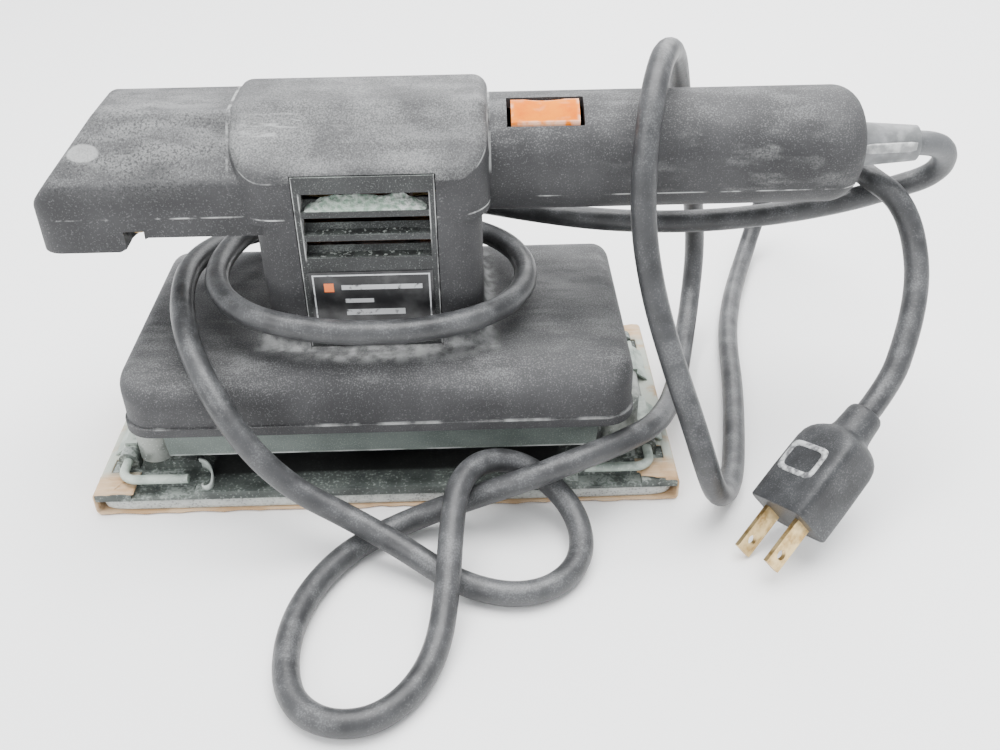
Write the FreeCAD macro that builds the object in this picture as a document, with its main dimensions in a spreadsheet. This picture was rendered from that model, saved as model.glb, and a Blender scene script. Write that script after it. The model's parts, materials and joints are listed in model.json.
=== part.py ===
"""Third-sheet finishing sander: a parametric assembly in millimetres.

The base stands on its sanding sheet.  +X runs along the tool from the front knob to the
cord, +Y to the far side, +Z up.  The origin is the middle of the sanding face.
Every driving dimension is a cell of the spreadsheet "Sizes"; each piece is bound to it.
"""
import FreeCAD, Part
import Sketcher
import math
import os
import re

V = FreeCAD.Vector
doc = FreeCAD.newDocument("FinishingSander")

# ---------------------------------------------------------------- driving dimensions
SIZES = [
    # sanding sheet, soft pad and platen
    ("paper_thick", 0.6), ("paper_wrap", 13.0), ("foam_thick", 4.4),
    ("platen_plate", 3.0), ("platen_length", 187.0), ("platen_width", 92.0),
    ("pedestal_rise", 3.6), ("pedestal_inner", 57.0), ("pedestal_ramp", 6.0),
    ("pedestal_end", 80.0), ("pedestal_half", 34.0),
    ("hub_radius", 19.0), ("hub_top", 20.0), ("shoulder_width", 3.0),
    # orbit and running clearances
    ("orbit_radius", 0.8), ("running_gap", 0.05), ("part_gap", 0.3),
    # base dome, its lip and the air skirt under it
    ("dome_half_length", 79.0), ("dome_half_width", 45.0), ("dome_low", 30.0),
    ("dome_top", 50.5), ("dome_corner", 10.0), ("dome_shoulder", 12.0),
    ("dome_soften", 6.0), ("foot_round", 3.0),
    ("lip_height", 3.0), ("lip_step", 0.6), ("wall", 3.0),
    ("skirt_half_length", 69.4), ("skirt_half_width", 40.0), ("skirt_low", 18.4),
    ("skirt_slope", 1.6), ("skirt_wall", 2.2), ("skirt_flange", 35.0),
    # motor column, palm rest, front knob and rear handle
    ("column_half_length", 33.5), ("column_half_width", 28.0), ("column_corner", 10.0),
    ("parting", 94.0),
    ("palm_rear", 36.0), ("palm_front", 38.5), ("palm_top", 122.7), ("palm_flat", 10.5),
    ("palm_edge", 107.5), ("palm_corner", 12.0), ("palm_soften", 4.5),
    ("knob_nose", 95.0), ("knob_bow", 4.0), ("knob_half_width", 25.0), ("knob_top", 120.4),
    ("knob_flat", 11.0), ("knob_edge", 104.0), ("knob_brow", 77.0), ("knob_brow_drop", 25.0),
    ("knob_low", 88.0), ("knob_boss_low", 83.5), ("knob_boss_rear", 73.0),
    ("knob_boss_ramp", 9.0), ("knob_corner", 7.0), ("knob_soften", 4.0),
    ("handle_radius", 17.5), ("handle_axis", 102.0), ("handle_end", 148.5),
    ("handle_round", 9.0),
    # vent panels and label
    ("panel_half", 20.2), ("panel_low", 51.0), ("panel_top", 107.0), ("panel_flange", 3.2),
    ("panel_flange_thick", 1.1), ("slot_half", 18.4), ("slot_height", 5.6),
    ("slot_pitch", 7.4), ("slot_low", 81.5), ("vane_reach", 1.1), ("vane_thick", 1.2),
    ("label_half", 18.4), ("label_low", 52.6), ("label_top", 77.0), ("label_thick", 0.4),
    # motor
    ("shaft_radius", 4.0), ("shaft_low", 23.0), ("shaft_top", 108.0),
    ("stator_half_length", 28.0), ("stator_half_width", 22.5), ("stator_low", 59.0),
    ("stator_height", 24.0), ("stator_bore", 15.4), ("air_gap", 0.6),
    ("coil_slot", 6.0), ("coil_thick", 5.0), ("coil_offset", 16.2), ("coil_reach", 20.5),
    ("winding_radius", 12.5), ("winding_height", 6.0),
    ("commutator_radius", 10.0), ("commutator_low", 88.0), ("commutator_height", 11.0),
    ("brush_width", 6.0), ("brush_height", 7.0), ("brush_length", 8.0),
    ("holder_wall", 1.6), ("holder_start", 12.4),
    # bearings: outer radius, inner radius, width, lowest height
    ("low_bearing_radius", 11.0), ("low_bearing_width", 7.0), ("low_bearing_low", 45.0),
    ("top_bearing_radius", 11.0), ("top_bearing_width", 7.0), ("top_bearing_low", 102.0),
    ("platen_bearing_radius", 13.0), ("platen_bearing_width", 8.0),
    ("platen_bearing_low", 11.0), ("race_wall", 1.6), ("bearing_lip", 1.5), ("boss_wall", 3.0),
    # eccentric, counterweight and fan
    ("pin_radius", 5.0), ("crank_low", 20.4), ("crank_height", 7.6), ("crank_radius", 8.0),
    ("weight_radius", 26.0), ("weight_low", 21.0), ("weight_height", 6.0),
    ("fan_low", 29.0), ("fan_height", 10.0), ("fan_radius", 31.0), ("fan_plate", 1.6),
    ("fan_blade", 1.4),
    # rubber posts
    ("post_x", 76.0), ("post_y", 29.0), ("post_radius", 5.8),
    # paper clamps
    ("clamp_axis_x", 85.0), ("clamp_axis_z", 11.2), ("clamp_rod", 1.5), ("clamp_half", 42.8),
    ("clamp_tip", 63.5), ("clamp_bend", 5.0), ("clamp_relief", 2.0),
    ("ear_y", 31.5), ("ear_thick", 4.0), ("ear_radius", 3.2), ("jaw_reach", 6.5), ("jaw_half", 27.0), ("jaw_thick", 1.0),
    ("spring_radius", 2.3), ("spring_half", 8.0),
    # switch
    ("switch_x", 52.6), ("switch_y", -7.85), ("button_half_length", 10.0),
    ("button_half_width", 3.85), ("button_low", 110.0), ("button_proud", 0.3),
    ("button_dish", 0.9), ("button_throw", 2.2), ("button_gap", 1.3), ("window_far_gap", 1.7),
    ("switch_height", 12.0), ("switch_half_length", 12.5), ("switch_half_width", 4.2),
    ("pivot_height", 113.0), ("pivot_radius", 0.9), ("pivot_half", 2.9),
    ("pivot_lug_half", 1.8), ("pivot_lug_thick", 2.4), ("terminal_y", 2.4),
    # cord, its boot and the clamp that holds it
    ("cord_radius", 3.75), ("boot_tip", 167.0), ("boot_base_radius", 7.0),
    ("boot_tip_radius", 5.4), ("boot_flange", 8.2), ("boot_axis", 101.5), ("cord_inner", 124.0),
    ("saddle_low", 131.0), ("saddle_high", 139.0), ("saddle_half", 11.0),
    ("strap_thick", 3.0), ("strap_screw_y", 7.6),
    # fasteners
    ("screw_radius", 1.5), ("screw_head", 3.0), ("screw_head_height", 2.0),
    ("knob_screw_x", 68.0), ("knob_screw_y", 18.5), ("handle_screw_x", 108.0),
    ("boss_radius", 4.2),
    # plug
    ("plug_length", 31.0), ("plug_half_width", 11.0), ("plug_half_height", 8.5),
    ("plug_neck", 10.5), ("plug_neck_radius", 5.8), ("plug_roll", 22.0), ("blade_length", 15.5),
    ("blade_width", 6.35), ("blade_thick", 1.5), ("blade_spacing", 12.7),
    ("blade_hole", 1.6), ("blade_root", 3.0),
]
NAMES = {alias for alias, number in SIZES}

sheet = doc.addObject("Spreadsheet::Sheet", "Sizes")
for row, (alias, number) in enumerate(SIZES, start=1):
    sheet.set("A%d" % row, alias)
    sheet.set("B%d" % row, str(number))
    sheet.setAlias("B%d" % row, alias)
doc.recompute()


def size(alias):
    """The number in the sheet's cell, for shapes that are built in code."""
    return float(sheet.get(alias))


# Heights that several pieces share, written once as formulas of the sheet's cells.
PAD_TOP = "(paper_thick + foam_thick)"
PLATEN_TOP = "(paper_thick + foam_thick + platen_plate)"
PAPER_TOP = "(2 * paper_thick + foam_thick + platen_plate)"
PEDESTAL_TOP = "(paper_thick + foam_thick + platen_plate + pedestal_rise)"
BULKHEAD_TOP = "(low_bearing_low + low_bearing_width)"
STATOR_TOP = "(stator_low + stator_height)"
BRUSH_Z = "(commutator_low + commutator_height / 2)"
BUTTON_SEAT = "(button_low - part_gap)"


def formula(text):
    """Turn a formula of cell names into one the document understands."""
    return re.sub(r"[a-z_]+", lambda word: "Sizes." + word.group() if word.group() in NAMES
                  else word.group(), text)


def bind(thing, prop, text):
    """Tie a property to a formula of the sheet's cells."""
    thing.setExpression(prop, formula(text))


def on_pin(solid):
    """Stand a piece of the platen group over the offset pin instead of the shaft."""
    bind(solid, "Placement.Base.x", "orbit_radius")
    return solid


def minus(text):
    return "-(%s)" % text


# ---------------------------------------------------------------- solid makers
def box(name, x, y, z):
    """A block between two formulas along each axis."""
    solid = doc.addObject("Part::Box", name)
    for side, axis, (low, high) in (("Length", "x", x), ("Width", "y", y), ("Height", "z", z)):
        bind(solid, side, "(%s) - (%s)" % (high, low))
        bind(solid, "Placement.Base." + axis, low)
    return solid


TURNS = {"z": FreeCAD.Rotation(), "x": FreeCAD.Rotation(V(0, 1, 0), 90),
         "y": FreeCAD.Rotation(V(1, 0, 0), -90)}


def rod(name, radius, low, high, centre=("0", "0"), along="z"):
    """A cylinder along one axis; centre gives the other two places in X, Y, Z order."""
    solid = doc.addObject("Part::Cylinder", name)
    solid.Placement = FreeCAD.Placement(V(), TURNS[along])
    bind(solid, "Radius", radius)
    bind(solid, "Height", "(%s) - (%s)" % (high, low))
    bind(solid, "Placement.Base." + along, low)
    for axis, place in zip([a for a in "xyz" if a != along], centre):
        bind(solid, "Placement.Base." + axis, place)
    return solid


def taper(name, radius_low, radius_high, low, high, centre, along="x"):
    """A cone along one axis."""
    solid = doc.addObject("Part::Cone", name)
    solid.Placement = FreeCAD.Placement(V(), TURNS[along])
    bind(solid, "Radius1", radius_low)
    bind(solid, "Radius2", radius_high)
    bind(solid, "Height", "(%s) - (%s)" % (high, low))
    bind(solid, "Placement.Base." + along, low)
    for axis, place in zip([a for a in "xyz" if a != along], centre):
        bind(solid, "Placement.Base." + axis, place)
    return solid


def fuse(name, *parts):
    solid = doc.addObject("Part::MultiFuse", name)
    solid.Shapes = list(parts)
    solid.Refine = True
    return solid


def common(name, *parts):
    solid = doc.addObject("Part::MultiCommon", name)
    solid.Shapes = list(parts)
    solid.Refine = True
    return solid


def cut(name, base, *tools):
    """Take every tool away from the base."""
    solid = doc.addObject("Part::Cut", name)
    solid.Base = base
    solid.Tool = tools[0] if len(tools) == 1 else fuse(name + "_tools", *tools)
    solid.Refine = True
    return solid


PLANES = {"XY": FreeCAD.Rotation(), "XZ": FreeCAD.Rotation(V(1, 0, 0), 90),
          "YZ": FreeCAD.Rotation(0.5, 0.5, 0.5, 0.5)}


def draw(sketch, corners):
    """Draw a closed outline whose corners are each held by two distances."""
    count = len(corners)
    start = [V(math.cos(2 * math.pi * i / count), math.sin(2 * math.pi * i / count), 0)
             for i in range(count)]
    for i in range(count):
        sketch.addGeometry(Part.LineSegment(start[i], start[(i + 1) % count]), False)
    for i in range(count):
        sketch.addConstraint(Sketcher.Constraint("Coincident", i, 2, (i + 1) % count, 1))
    for i, corner in enumerate(corners):
        for kind, place in zip(("DistanceX", "DistanceY"), corner):
            index = sketch.addConstraint(Sketcher.Constraint(kind, -1, 1, i, 1, 1.0))
            sketch.setExpression("Constraints[%d]" % index, formula(place))


def prism(name, plane, corners, low, high):
    """An outline in one plane, drawn out between two formulas along the third axis."""
    sketch = doc.addObject("Sketcher::SketchObject", name + "_outline")
    sketch.Placement = FreeCAD.Placement(V(), PLANES[plane])
    draw(sketch, corners)
    solid = doc.addObject("Part::Extrusion", name)
    solid.Base = sketch
    solid.DirMode = "Normal"
    solid.Solid = True
    forward, backward = (minus(low), high) if plane == "XZ" else (high, minus(low))
    bind(solid, "LengthFwd", forward)
    bind(solid, "LengthRev", backward)
    return solid


def mirrored_solid(name, base):
    """The same solid mirrored to the other side of the tool."""
    solid = doc.addObject("Part::Mirroring", name)
    solid.Source = base
    solid.Normal = V(0, 1, 0)
    return solid


def round_edges(name, base, radius, wanted):
    """Round the edges of the base for which wanted(edge) is true."""
    doc.recompute()
    solid = doc.addObject("Part::Fillet", name)
    solid.Base = base
    solid.Edges = [(i, radius, radius) for i, edge in enumerate(base.Shape.Edges, start=1)
                   if wanted(edge)]
    return solid


def direction(edge):
    """The unit direction of a straight edge, or a null vector for a curved one."""
    if not isinstance(edge.Curve, Part.Line):
        return V()
    step = edge.Vertexes[-1].Point - edge.Vertexes[0].Point
    return step.normalize()


def upright(edge):
    return abs(direction(edge).z) > 0.999


def body_sketch(body, role, corners):
    """A sketch on one of the body's own origin planes."""
    sketch = body.newObject("Sketcher::SketchObject", body.Name + "_sketch")
    plane = [f for f in body.Origin.OriginFeatures if f.Role == role][0]
    sketch.AttachmentSupport = [(plane, "")]
    sketch.MapMode = "FlatFace"
    if corners:
        draw(sketch, corners)
    return sketch


def revolved_body(name, corners, centre=("0", "0")):
    """A body turned about a line parallel to Z; corners are (radius, height)."""
    body = doc.addObject("PartDesign::Body", name)
    sketch = body_sketch(body, "XZ_Plane", corners)
    turn = body.newObject("PartDesign::Revolution", name + "_turn")
    turn.Profile = sketch
    turn.ReferenceAxis = (sketch, ["V_Axis"])
    turn.Angle = 360
    bind(body, "Placement.Base.x", centre[0])
    bind(body, "Placement.Base.y", centre[1])
    return body


def padded_body(name, corners, half_width):
    """A body whose XZ outline is drawn out evenly to both sides of the middle plane."""
    body = doc.addObject("PartDesign::Body", name)
    sketch = body_sketch(body, "XZ_Plane", corners)
    pad = body.newObject("PartDesign::Pad", name + "_pad")
    pad.Profile = sketch
    pad.Midplane = True
    bind(pad, "Length", "2 * (%s)" % half_width)
    return body


def shaped(name, shape):
    """A sub-part whose shape is worked out in code from the sheet's numbers."""
    feature = doc.addObject("Part::Feature", name)
    feature.Shape = shape
    return feature


def tube_path(points, bends=None):
    """Straight runs joined by tangent arcs through a list of points.

    Each arc is as large as its two runs allow, or of the one given bend radius.
    Returns the wire, its length and the list of arc radii.
    """
    edges = []
    radii = []
    last = points[0]
    for before, corner, after in zip(points, points[1:], points[2:]):
        arriving = (corner - before).normalize()
        leaving = (after - corner).normalize()
        half_turn = arriving.getAngle(leaving) / 2
        shorter = min((corner - before).Length, (after - corner).Length)
        radius = bends or 0.45 * shorter / math.tan(half_turn)
        setback = radius * math.tan(half_turn)
        start = corner - arriving * setback
        finish = corner + leaving * setback
        inward = (leaving - arriving).normalize()
        middle = corner + inward * (radius / math.cos(half_turn) - radius)
        edges.append(Part.LineSegment(last, start).toShape())
        edges.append(Part.Arc(start, middle, finish).toShape())
        radii.append(radius)
        last = finish
    edges.append(Part.LineSegment(last, points[-1]).toShape())
    wire = Part.Wire(edges)
    return wire, wire.Length, radii


def tube(points, radius, bends=None):
    """A round tube along a path, as a solid."""
    wire, length, radii = tube_path(points, bends)
    start = (points[1] - points[0]).normalize()
    ring = Part.Wire(Part.Circle(points[0], start, radius).toShape())
    pipe = Part.BRepOffsetAPI.MakePipeShell(wire)
    pipe.setFrenetMode(False)
    pipe.add(ring)
    pipe.build()
    pipe.makeSolid()
    return pipe.shape(), length, radii


NODES = []


def node(name, solid):
    """Name a finished sub-part; the label names its file."""
    solid.Label = name
    NODES.append((name, solid))
    return solid


# ---------------------------------------------------------------- platen group
END = "(platen_length / 2)"
WRAP_END = "(platen_length / 2 + paper_thick)"
WRAP_EDGE = "(platen_length / 2 + paper_thick - paper_wrap)"


def mirrored(corners):
    """Corners of the right half, followed by their mirror images about the middle."""
    return corners + [(minus(x), z) for x, z in reversed(corners)]


def make_sheet():
    """Abrasive paper: flat under the pad, up both ends and folded over onto the platen."""
    profile = mirrored([(END, "paper_thick"), (END, PLATEN_TOP), (WRAP_EDGE, PLATEN_TOP),
                        (WRAP_EDGE, PAPER_TOP), (WRAP_END, PAPER_TOP), (WRAP_END, "0")])
    inner, outer = profile[:6], profile[6:]
    paper = padded_body("sheet_body", inner + outer, "platen_width / 2 + 0.5")
    notches = []
    for side, sign in (("front", "-1"), ("rear", "1")):
        for row, across in (("near", "-1"), ("far", "1")):
            middle = "%s * clamp_axis_x" % sign
            centre = "%s * ear_y" % across
            reach = "(ear_radius + 4 * part_gap)"
            depth = "(ear_thick / 2 + 2 * part_gap)"
            notches.append(box("notch_%s_%s" % (side, row),
                               (middle + " - " + reach, middle + " + " + reach),
                               (centre + " - " + depth, centre + " + " + depth),
                               (PLATEN_TOP + " - paper_thick / 2", PAPER_TOP + " + 1")))
    node("sanding_sheet", on_pin(cut("sheet_notched", paper, *notches)))


def make_pad():
    """Soft backing pad between the paper and the platen."""
    node("sanding_pad", box("pad_block", ("orbit_radius - " + END, "orbit_radius + " + END),
                            ("-platen_width / 2 - 0.3", "platen_width / 2 + 0.3"),
                            ("paper_thick", PAD_TOP)))


def post_places():
    return [(side, across) for side in ("-1", "1") for across in ("-1", "1")]


def make_platen():
    """Cast plate with raised ends, a bearing hub and the ears of both paper clamps."""
    plate = box("platen_plate_block", (minus(END), END),
                ("-platen_width / 2", "platen_width / 2"), (PAD_TOP, PLATEN_TOP))
    solids = [plate, rod("platen_hub", "hub_radius", PAD_TOP, "hub_top")]
    for side, sign in (("front", "-"), ("rear", "")):
        ramp = "%s(pedestal_inner)" % sign
        crest = "%s(pedestal_inner + pedestal_ramp)" % sign
        end = "%s(pedestal_end)" % sign
        solids.append(prism("pedestal_" + side, "XZ",
                            [(ramp, PLATEN_TOP + " - 1"), (crest, PEDESTAL_TOP),
                             (end, PEDESTAL_TOP), (end, PLATEN_TOP + " - 1")],
                            "-pedestal_half", "pedestal_half"))
        for row, across in (("near", "-1"), ("far", "1")):
            centre = "%s * ear_y" % across
            low = centre + " - ear_thick / 2"
            high = centre + " + ear_thick / 2"
            axis = "%s(clamp_axis_x)" % sign
            ear = rod("ear_%s_%s" % (side, row), "ear_radius", low, high,
                      (axis, "clamp_axis_z"), "y")
            foot = box("ear_foot_%s_%s" % (side, row), (axis + " - ear_radius",
                       axis + " + ear_radius"), (low, high), (PAD_TOP, "clamp_axis_z"))
            solids += [ear, foot]
    cast = fuse("platen_cast", *solids)
    tools = [rod("hub_access", "platen_bearing_radius - shoulder_width", "0",
                 "hub_top + 1"),
             rod("hub_seat", "platen_bearing_radius + running_gap / 2",
                 "platen_bearing_low", "hub_top + 1")]
    for side in ("-", ""):
        tools.append(rod("axle_hole" + side.replace("-", "_front"),
                         "clamp_rod + running_gap", "-clamp_half", "clamp_half",
                         ("%s(clamp_axis_x)" % side, "clamp_axis_z"), "y"))
    for number, (side, across) in enumerate(post_places()):
        tools.append(box("lever_relief_%d" % number,
                         sorted_pair(int(side), "clamp_tip - 2", "clamp_axis_x - 3"),
                         sorted_pair(int(across), "clamp_half - clamp_rod - 0.6",
                                     "platen_width / 2 + 1"),
                         (PLATEN_TOP + " - clamp_relief", PLATEN_TOP + " + 1")))
        centre = ("%s * post_x" % side, "%s * post_y" % across)
        tools.append(rod("post_hole_%d" % number, "screw_radius + running_gap", "0",
                         PEDESTAL_TOP + " + 1", centre))
        tools.append(rod("post_head_hole_%d" % number, "screw_head + running_gap", "0",
                         PAD_TOP + " + screw_head_height", centre))
    node("platen", on_pin(cut("platen_machined", cast, *tools)))


def make_posts():
    """Four rubber posts that hold the platen square to the housing, and their screws."""
    posts = []
    screws = []
    for number, (side, across) in enumerate(post_places()):
        centre = ("%s * post_x" % side, "%s * post_y" % across)
        whole = rod("post_rubber_%d" % number, "post_radius", PEDESTAL_TOP,
                    "dome_low - part_gap", centre)
        waist = rod("post_bore_%d" % number, "screw_radius + running_gap",
                    PEDESTAL_TOP + " - 1", PEDESTAL_TOP + " + 8", centre)
        posts.append(cut("post_%d" % number, whole, waist))
        head = rod("post_screw_head_%d" % number, "screw_head", PAD_TOP,
                   PAD_TOP + " + screw_head_height", centre)
        shank = rod("post_screw_shank_%d" % number, "screw_radius", PAD_TOP,
                    PEDESTAL_TOP + " + 7", centre)
        screws.append(fuse("post_screw_%d" % number, head, shank))
    node("support_posts", on_pin(compound("posts", posts)))
    node("post_screws", on_pin(compound("post_screw_set", screws)))


def compound(name, parts):
    group = doc.addObject("Part::Compound", name)
    group.Links = parts
    return group


def make_clamp(side, sign):
    """One spring clamp: a bent rod with two finger levers, its jaw and its spring."""
    axis_x = sign * size("clamp_axis_x")
    axis_z = size("clamp_axis_z")
    tip_x = sign * size("clamp_tip")
    half = size("clamp_half")
    corners = [V(tip_x, -half, axis_z), V(axis_x, -half, axis_z), V(axis_x, half, axis_z),
               V(tip_x, half, axis_z)]
    lever, length, radii = tube(corners, size("clamp_rod"), size("clamp_bend"))
    node(side + "_clamp_lever", on_pin(shaped(side + "_lever", lever)))

    edge = "%s * (clamp_axis_x + jaw_reach)" % sign
    seat = PAPER_TOP + " + part_gap"
    inner = "%s * (clamp_axis_x + clamp_rod + running_gap)" % sign
    top = "clamp_axis_z + clamp_rod"
    blade = prism(side + "_jaw_blade", "XZ",
                  [(edge, seat), ("%s * (clamp_axis_x + jaw_reach - jaw_thick)" % sign, seat),
                   (inner, top + " - jaw_thick"), (inner, top), ],
                  "-jaw_half", "jaw_half")
    cap = box(side + "_jaw_cap", tuple(sorted_pair(sign, "clamp_axis_x - clamp_rod",
                                                   "clamp_axis_x + clamp_rod + running_gap")),
              ("-jaw_half", "jaw_half"),
              ("clamp_axis_z + clamp_rod + running_gap",
               "clamp_axis_z + clamp_rod + running_gap + jaw_thick"))
    rib = box(side + "_jaw_rib", tuple(sorted_pair(sign, "clamp_axis_x + clamp_rod + running_gap",
                                                   "clamp_axis_x + clamp_rod + jaw_thick")),
              ("-jaw_half", "jaw_half"),
              ("clamp_axis_z", "clamp_axis_z + clamp_rod + running_gap + jaw_thick"))
    whole = fuse(side + "_jaw_whole", blade, cap, rib)
    gap = box(side + "_jaw_gap", tuple(sorted_pair(sign, "clamp_axis_x - 10", "clamp_axis_x + 10")),
              ("-spring_half - part_gap", "spring_half + part_gap"), ("0", "clamp_axis_z + 10"))
    node(side + "_clamp_jaw", on_pin(cut(side + "_jaw", whole, gap)))

    coil = rod(side + "_coil", "spring_radius", "-spring_half", "spring_half",
               ("%s * clamp_axis_x" % sign, "clamp_axis_z"), "y")
    bore = rod(side + "_coil_bore", "clamp_rod + running_gap", "-spring_half - 1",
               "spring_half + 1", ("%s * clamp_axis_x" % sign, "clamp_axis_z"), "y")
    node(side + "_clamp_spring", on_pin(cut(side + "_spring", coil, bore)))


def sorted_pair(sign, near, far):
    """Two formulas as (low, high) on the side of the tool that sign picks."""
    if sign > 0:
        return near, far
    return minus(far), minus(near)


# ---------------------------------------------------------------- housing
def rounded_block(name, x, y, z, radius):
    """A block with its four upright edges rounded."""
    return round_edges(name, box(name + "_block", x, y, z), radius, upright)


def dome(name, inset, low, extra):
    """The base's dome: flat roof, long shoulders rounded, rounded corners in plan."""
    top = "(dome_top - %s)" % inset
    shoulder = size("dome_shoulder") - extra
    half_width = "(dome_half_width - %s)" % inset
    half_length = "(dome_half_length - %s)" % inset
    block = rounded_block(name + "_plan", (minus(half_length), half_length),
                          (minus(half_width), half_width), (low, top),
                          size("dome_corner") - extra)
    bar = box(name + "_bar", ("-dome_half_length - 5", "dome_half_length + 5"),
              (minus(half_width), half_width), (low + " - 20", top))
    top_height = size("dome_top") - extra
    round_bar = round_edges(name + "_shoulders", bar, shoulder,
                            lambda edge: abs(direction(edge).x) > 0.999
                            and abs(edge.CenterOfMass.z - top_height) < 0.01)
    return common(name, block, round_bar)


def palm(name, inset, low):
    """The palm rest: a flat-topped ridge with a rounded-rectangle plan."""
    extra = size("wall") if inset != "0" else 0.0
    side = "(column_half_width - %s)" % inset
    flat = "(palm_flat - %s / 2)" % inset
    ridge = prism(name + "_ridge", "YZ",
                  [(minus(side), low), (side, low), (side, "palm_edge - %s / 2" % inset),
                   (flat, "palm_top - %s" % inset), (minus(flat), "palm_top - %s" % inset),
                   (minus(side), "palm_edge - %s / 2" % inset)],
                  "-palm_front + %s" % inset, "palm_rear - %s" % inset)
    plan = rounded_block(name + "_plan", ("-palm_front + %s" % inset, "palm_rear - %s" % inset),
                         (minus(side), side), (low, "palm_top + 5"),
                         size("palm_corner") - extra)
    return common(name, ridge, plan)


def column(name, inset, low, high):
    """The upright motor column."""
    extra = size("wall") if inset != "0" else 0.0
    half_length = "(column_half_length - %s)" % inset
    half_width = "(column_half_width - %s)" % inset
    return rounded_block(name, (minus(half_length), half_length),
                         (minus(half_width), half_width), (low, high),
                         size("column_corner") - extra)


def knob(name, inset):
    """The front knob: flat crown, sloping cheeks and brow, upright sides, deep front."""
    extra = size("wall") if inset != "0" else 0.0
    side = "(knob_half_width - %s)" % inset
    flat = "(knob_flat - %s / 2)" % inset
    cheek = "(knob_edge - %s / 2)" % inset
    crown = "(knob_top - %s)" % inset
    nose = "-(knob_nose + knob_bow - %s)" % inset
    low = "(knob_boss_low + %s)" % inset
    section = prism(name + "_section", "YZ",
                    [(minus(side), low), (side, low), (side, cheek), (flat, crown),
                     (minus(flat), crown), (minus(side), cheek)], nose, "0")
    profile = prism(name + "_profile", "XZ",
                    [(nose, low), ("-(knob_boss_rear + knob_boss_ramp * 0)", low),
                     ("-(knob_boss_rear - knob_boss_ramp)", "knob_low + %s" % inset),
                     ("0", "knob_low + %s" % inset), ("0", crown),
                     ("-knob_brow + %s / 2" % inset, crown),
                     (nose, "knob_top - knob_brow_drop - %s" % inset)],
                    "-knob_half_width - 5", "knob_half_width + 5")
    plan_corner = "(knob_nose - %s)" % inset
    plan = prism(name + "_plan", "XY",
                 [("0", minus(side)), ("0", side), (minus(plan_corner), side),
                  (nose, "%s / 2" % side), (nose, "-%s / 2" % side),
                  (minus(plan_corner), minus(side))],
                 "knob_boss_low - 5", "knob_top + 5")
    rounded = round_edges(name + "_rounded_plan", plan, size("knob_corner") - extra / 2,
                          lambda edge: upright(edge) and edge.CenterOfMass.x < -20)
    return common(name, section, profile, rounded)


def handle(name, inset):
    """The rear handle: a round bar with a rounded end."""
    extra = size("wall") if inset != "0" else 0.0
    bar = rod(name + "_bar", "handle_radius - %s" % inset, "0", "handle_end - %s" % inset,
              ("0", "handle_axis"), "x")
    end = size("handle_end") - extra
    return round_edges(name, bar, size("handle_round") - extra,
                       lambda edge: abs(edge.CenterOfMass.x - end) < 0.01)


def housing_outside():
    """The closed outer form of the whole housing, as one solid."""
    rim = size("dome_top") - 1
    base = round_edges("dome_softened", dome("dome_outside", "0", "dome_low", 0.0),
                       size("dome_soften"), lambda edge: edge.CenterOfMass.z > size("dome_low") + 1
                       and abs(direction(edge).x) < 0.9 and not upright(edge))
    lip = rounded_block("lip", ("-dome_half_length - lip_step", "dome_half_length + lip_step"),
                        ("-dome_half_width - lip_step", "dome_half_width + lip_step"),
                        ("dome_low", "dome_low + lip_height"), size("dome_corner"))
    tower = column("column_outside", "0", "dome_low + 5", "palm_edge - 1")
    shoulders = size("palm_edge") - 2
    rest = round_edges("palm_softened", palm("palm_outside", "0", "parting - 2"),
                       size("palm_soften"), lambda edge: edge.CenterOfMass.z > shoulders)
    underside = size("knob_low") - 2
    nose = round_edges("knob_softened", knob("knob_outside", "0"), size("knob_soften"),
                       lambda edge: edge.CenterOfMass.z > underside + 0.1 and not upright(edge)
                       and -99 < edge.CenterOfMass.x < -1 and edge.CenterOfMass.z > 89)
    foot = fuse("base_and_column", base, lip, tower)
    footed = round_edges("column_foot", foot, size("foot_round"),
                         lambda edge: abs(edge.CenterOfMass.z - size("dome_top")) < 0.01
                         and abs(edge.CenterOfMass.x) < size("column_half_length") + 1
                         and abs(edge.CenterOfMass.y) < size("column_half_width") + 1)
    return fuse("housing_outside", footed, rest, nose, handle("handle_outside", "0"))


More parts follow.
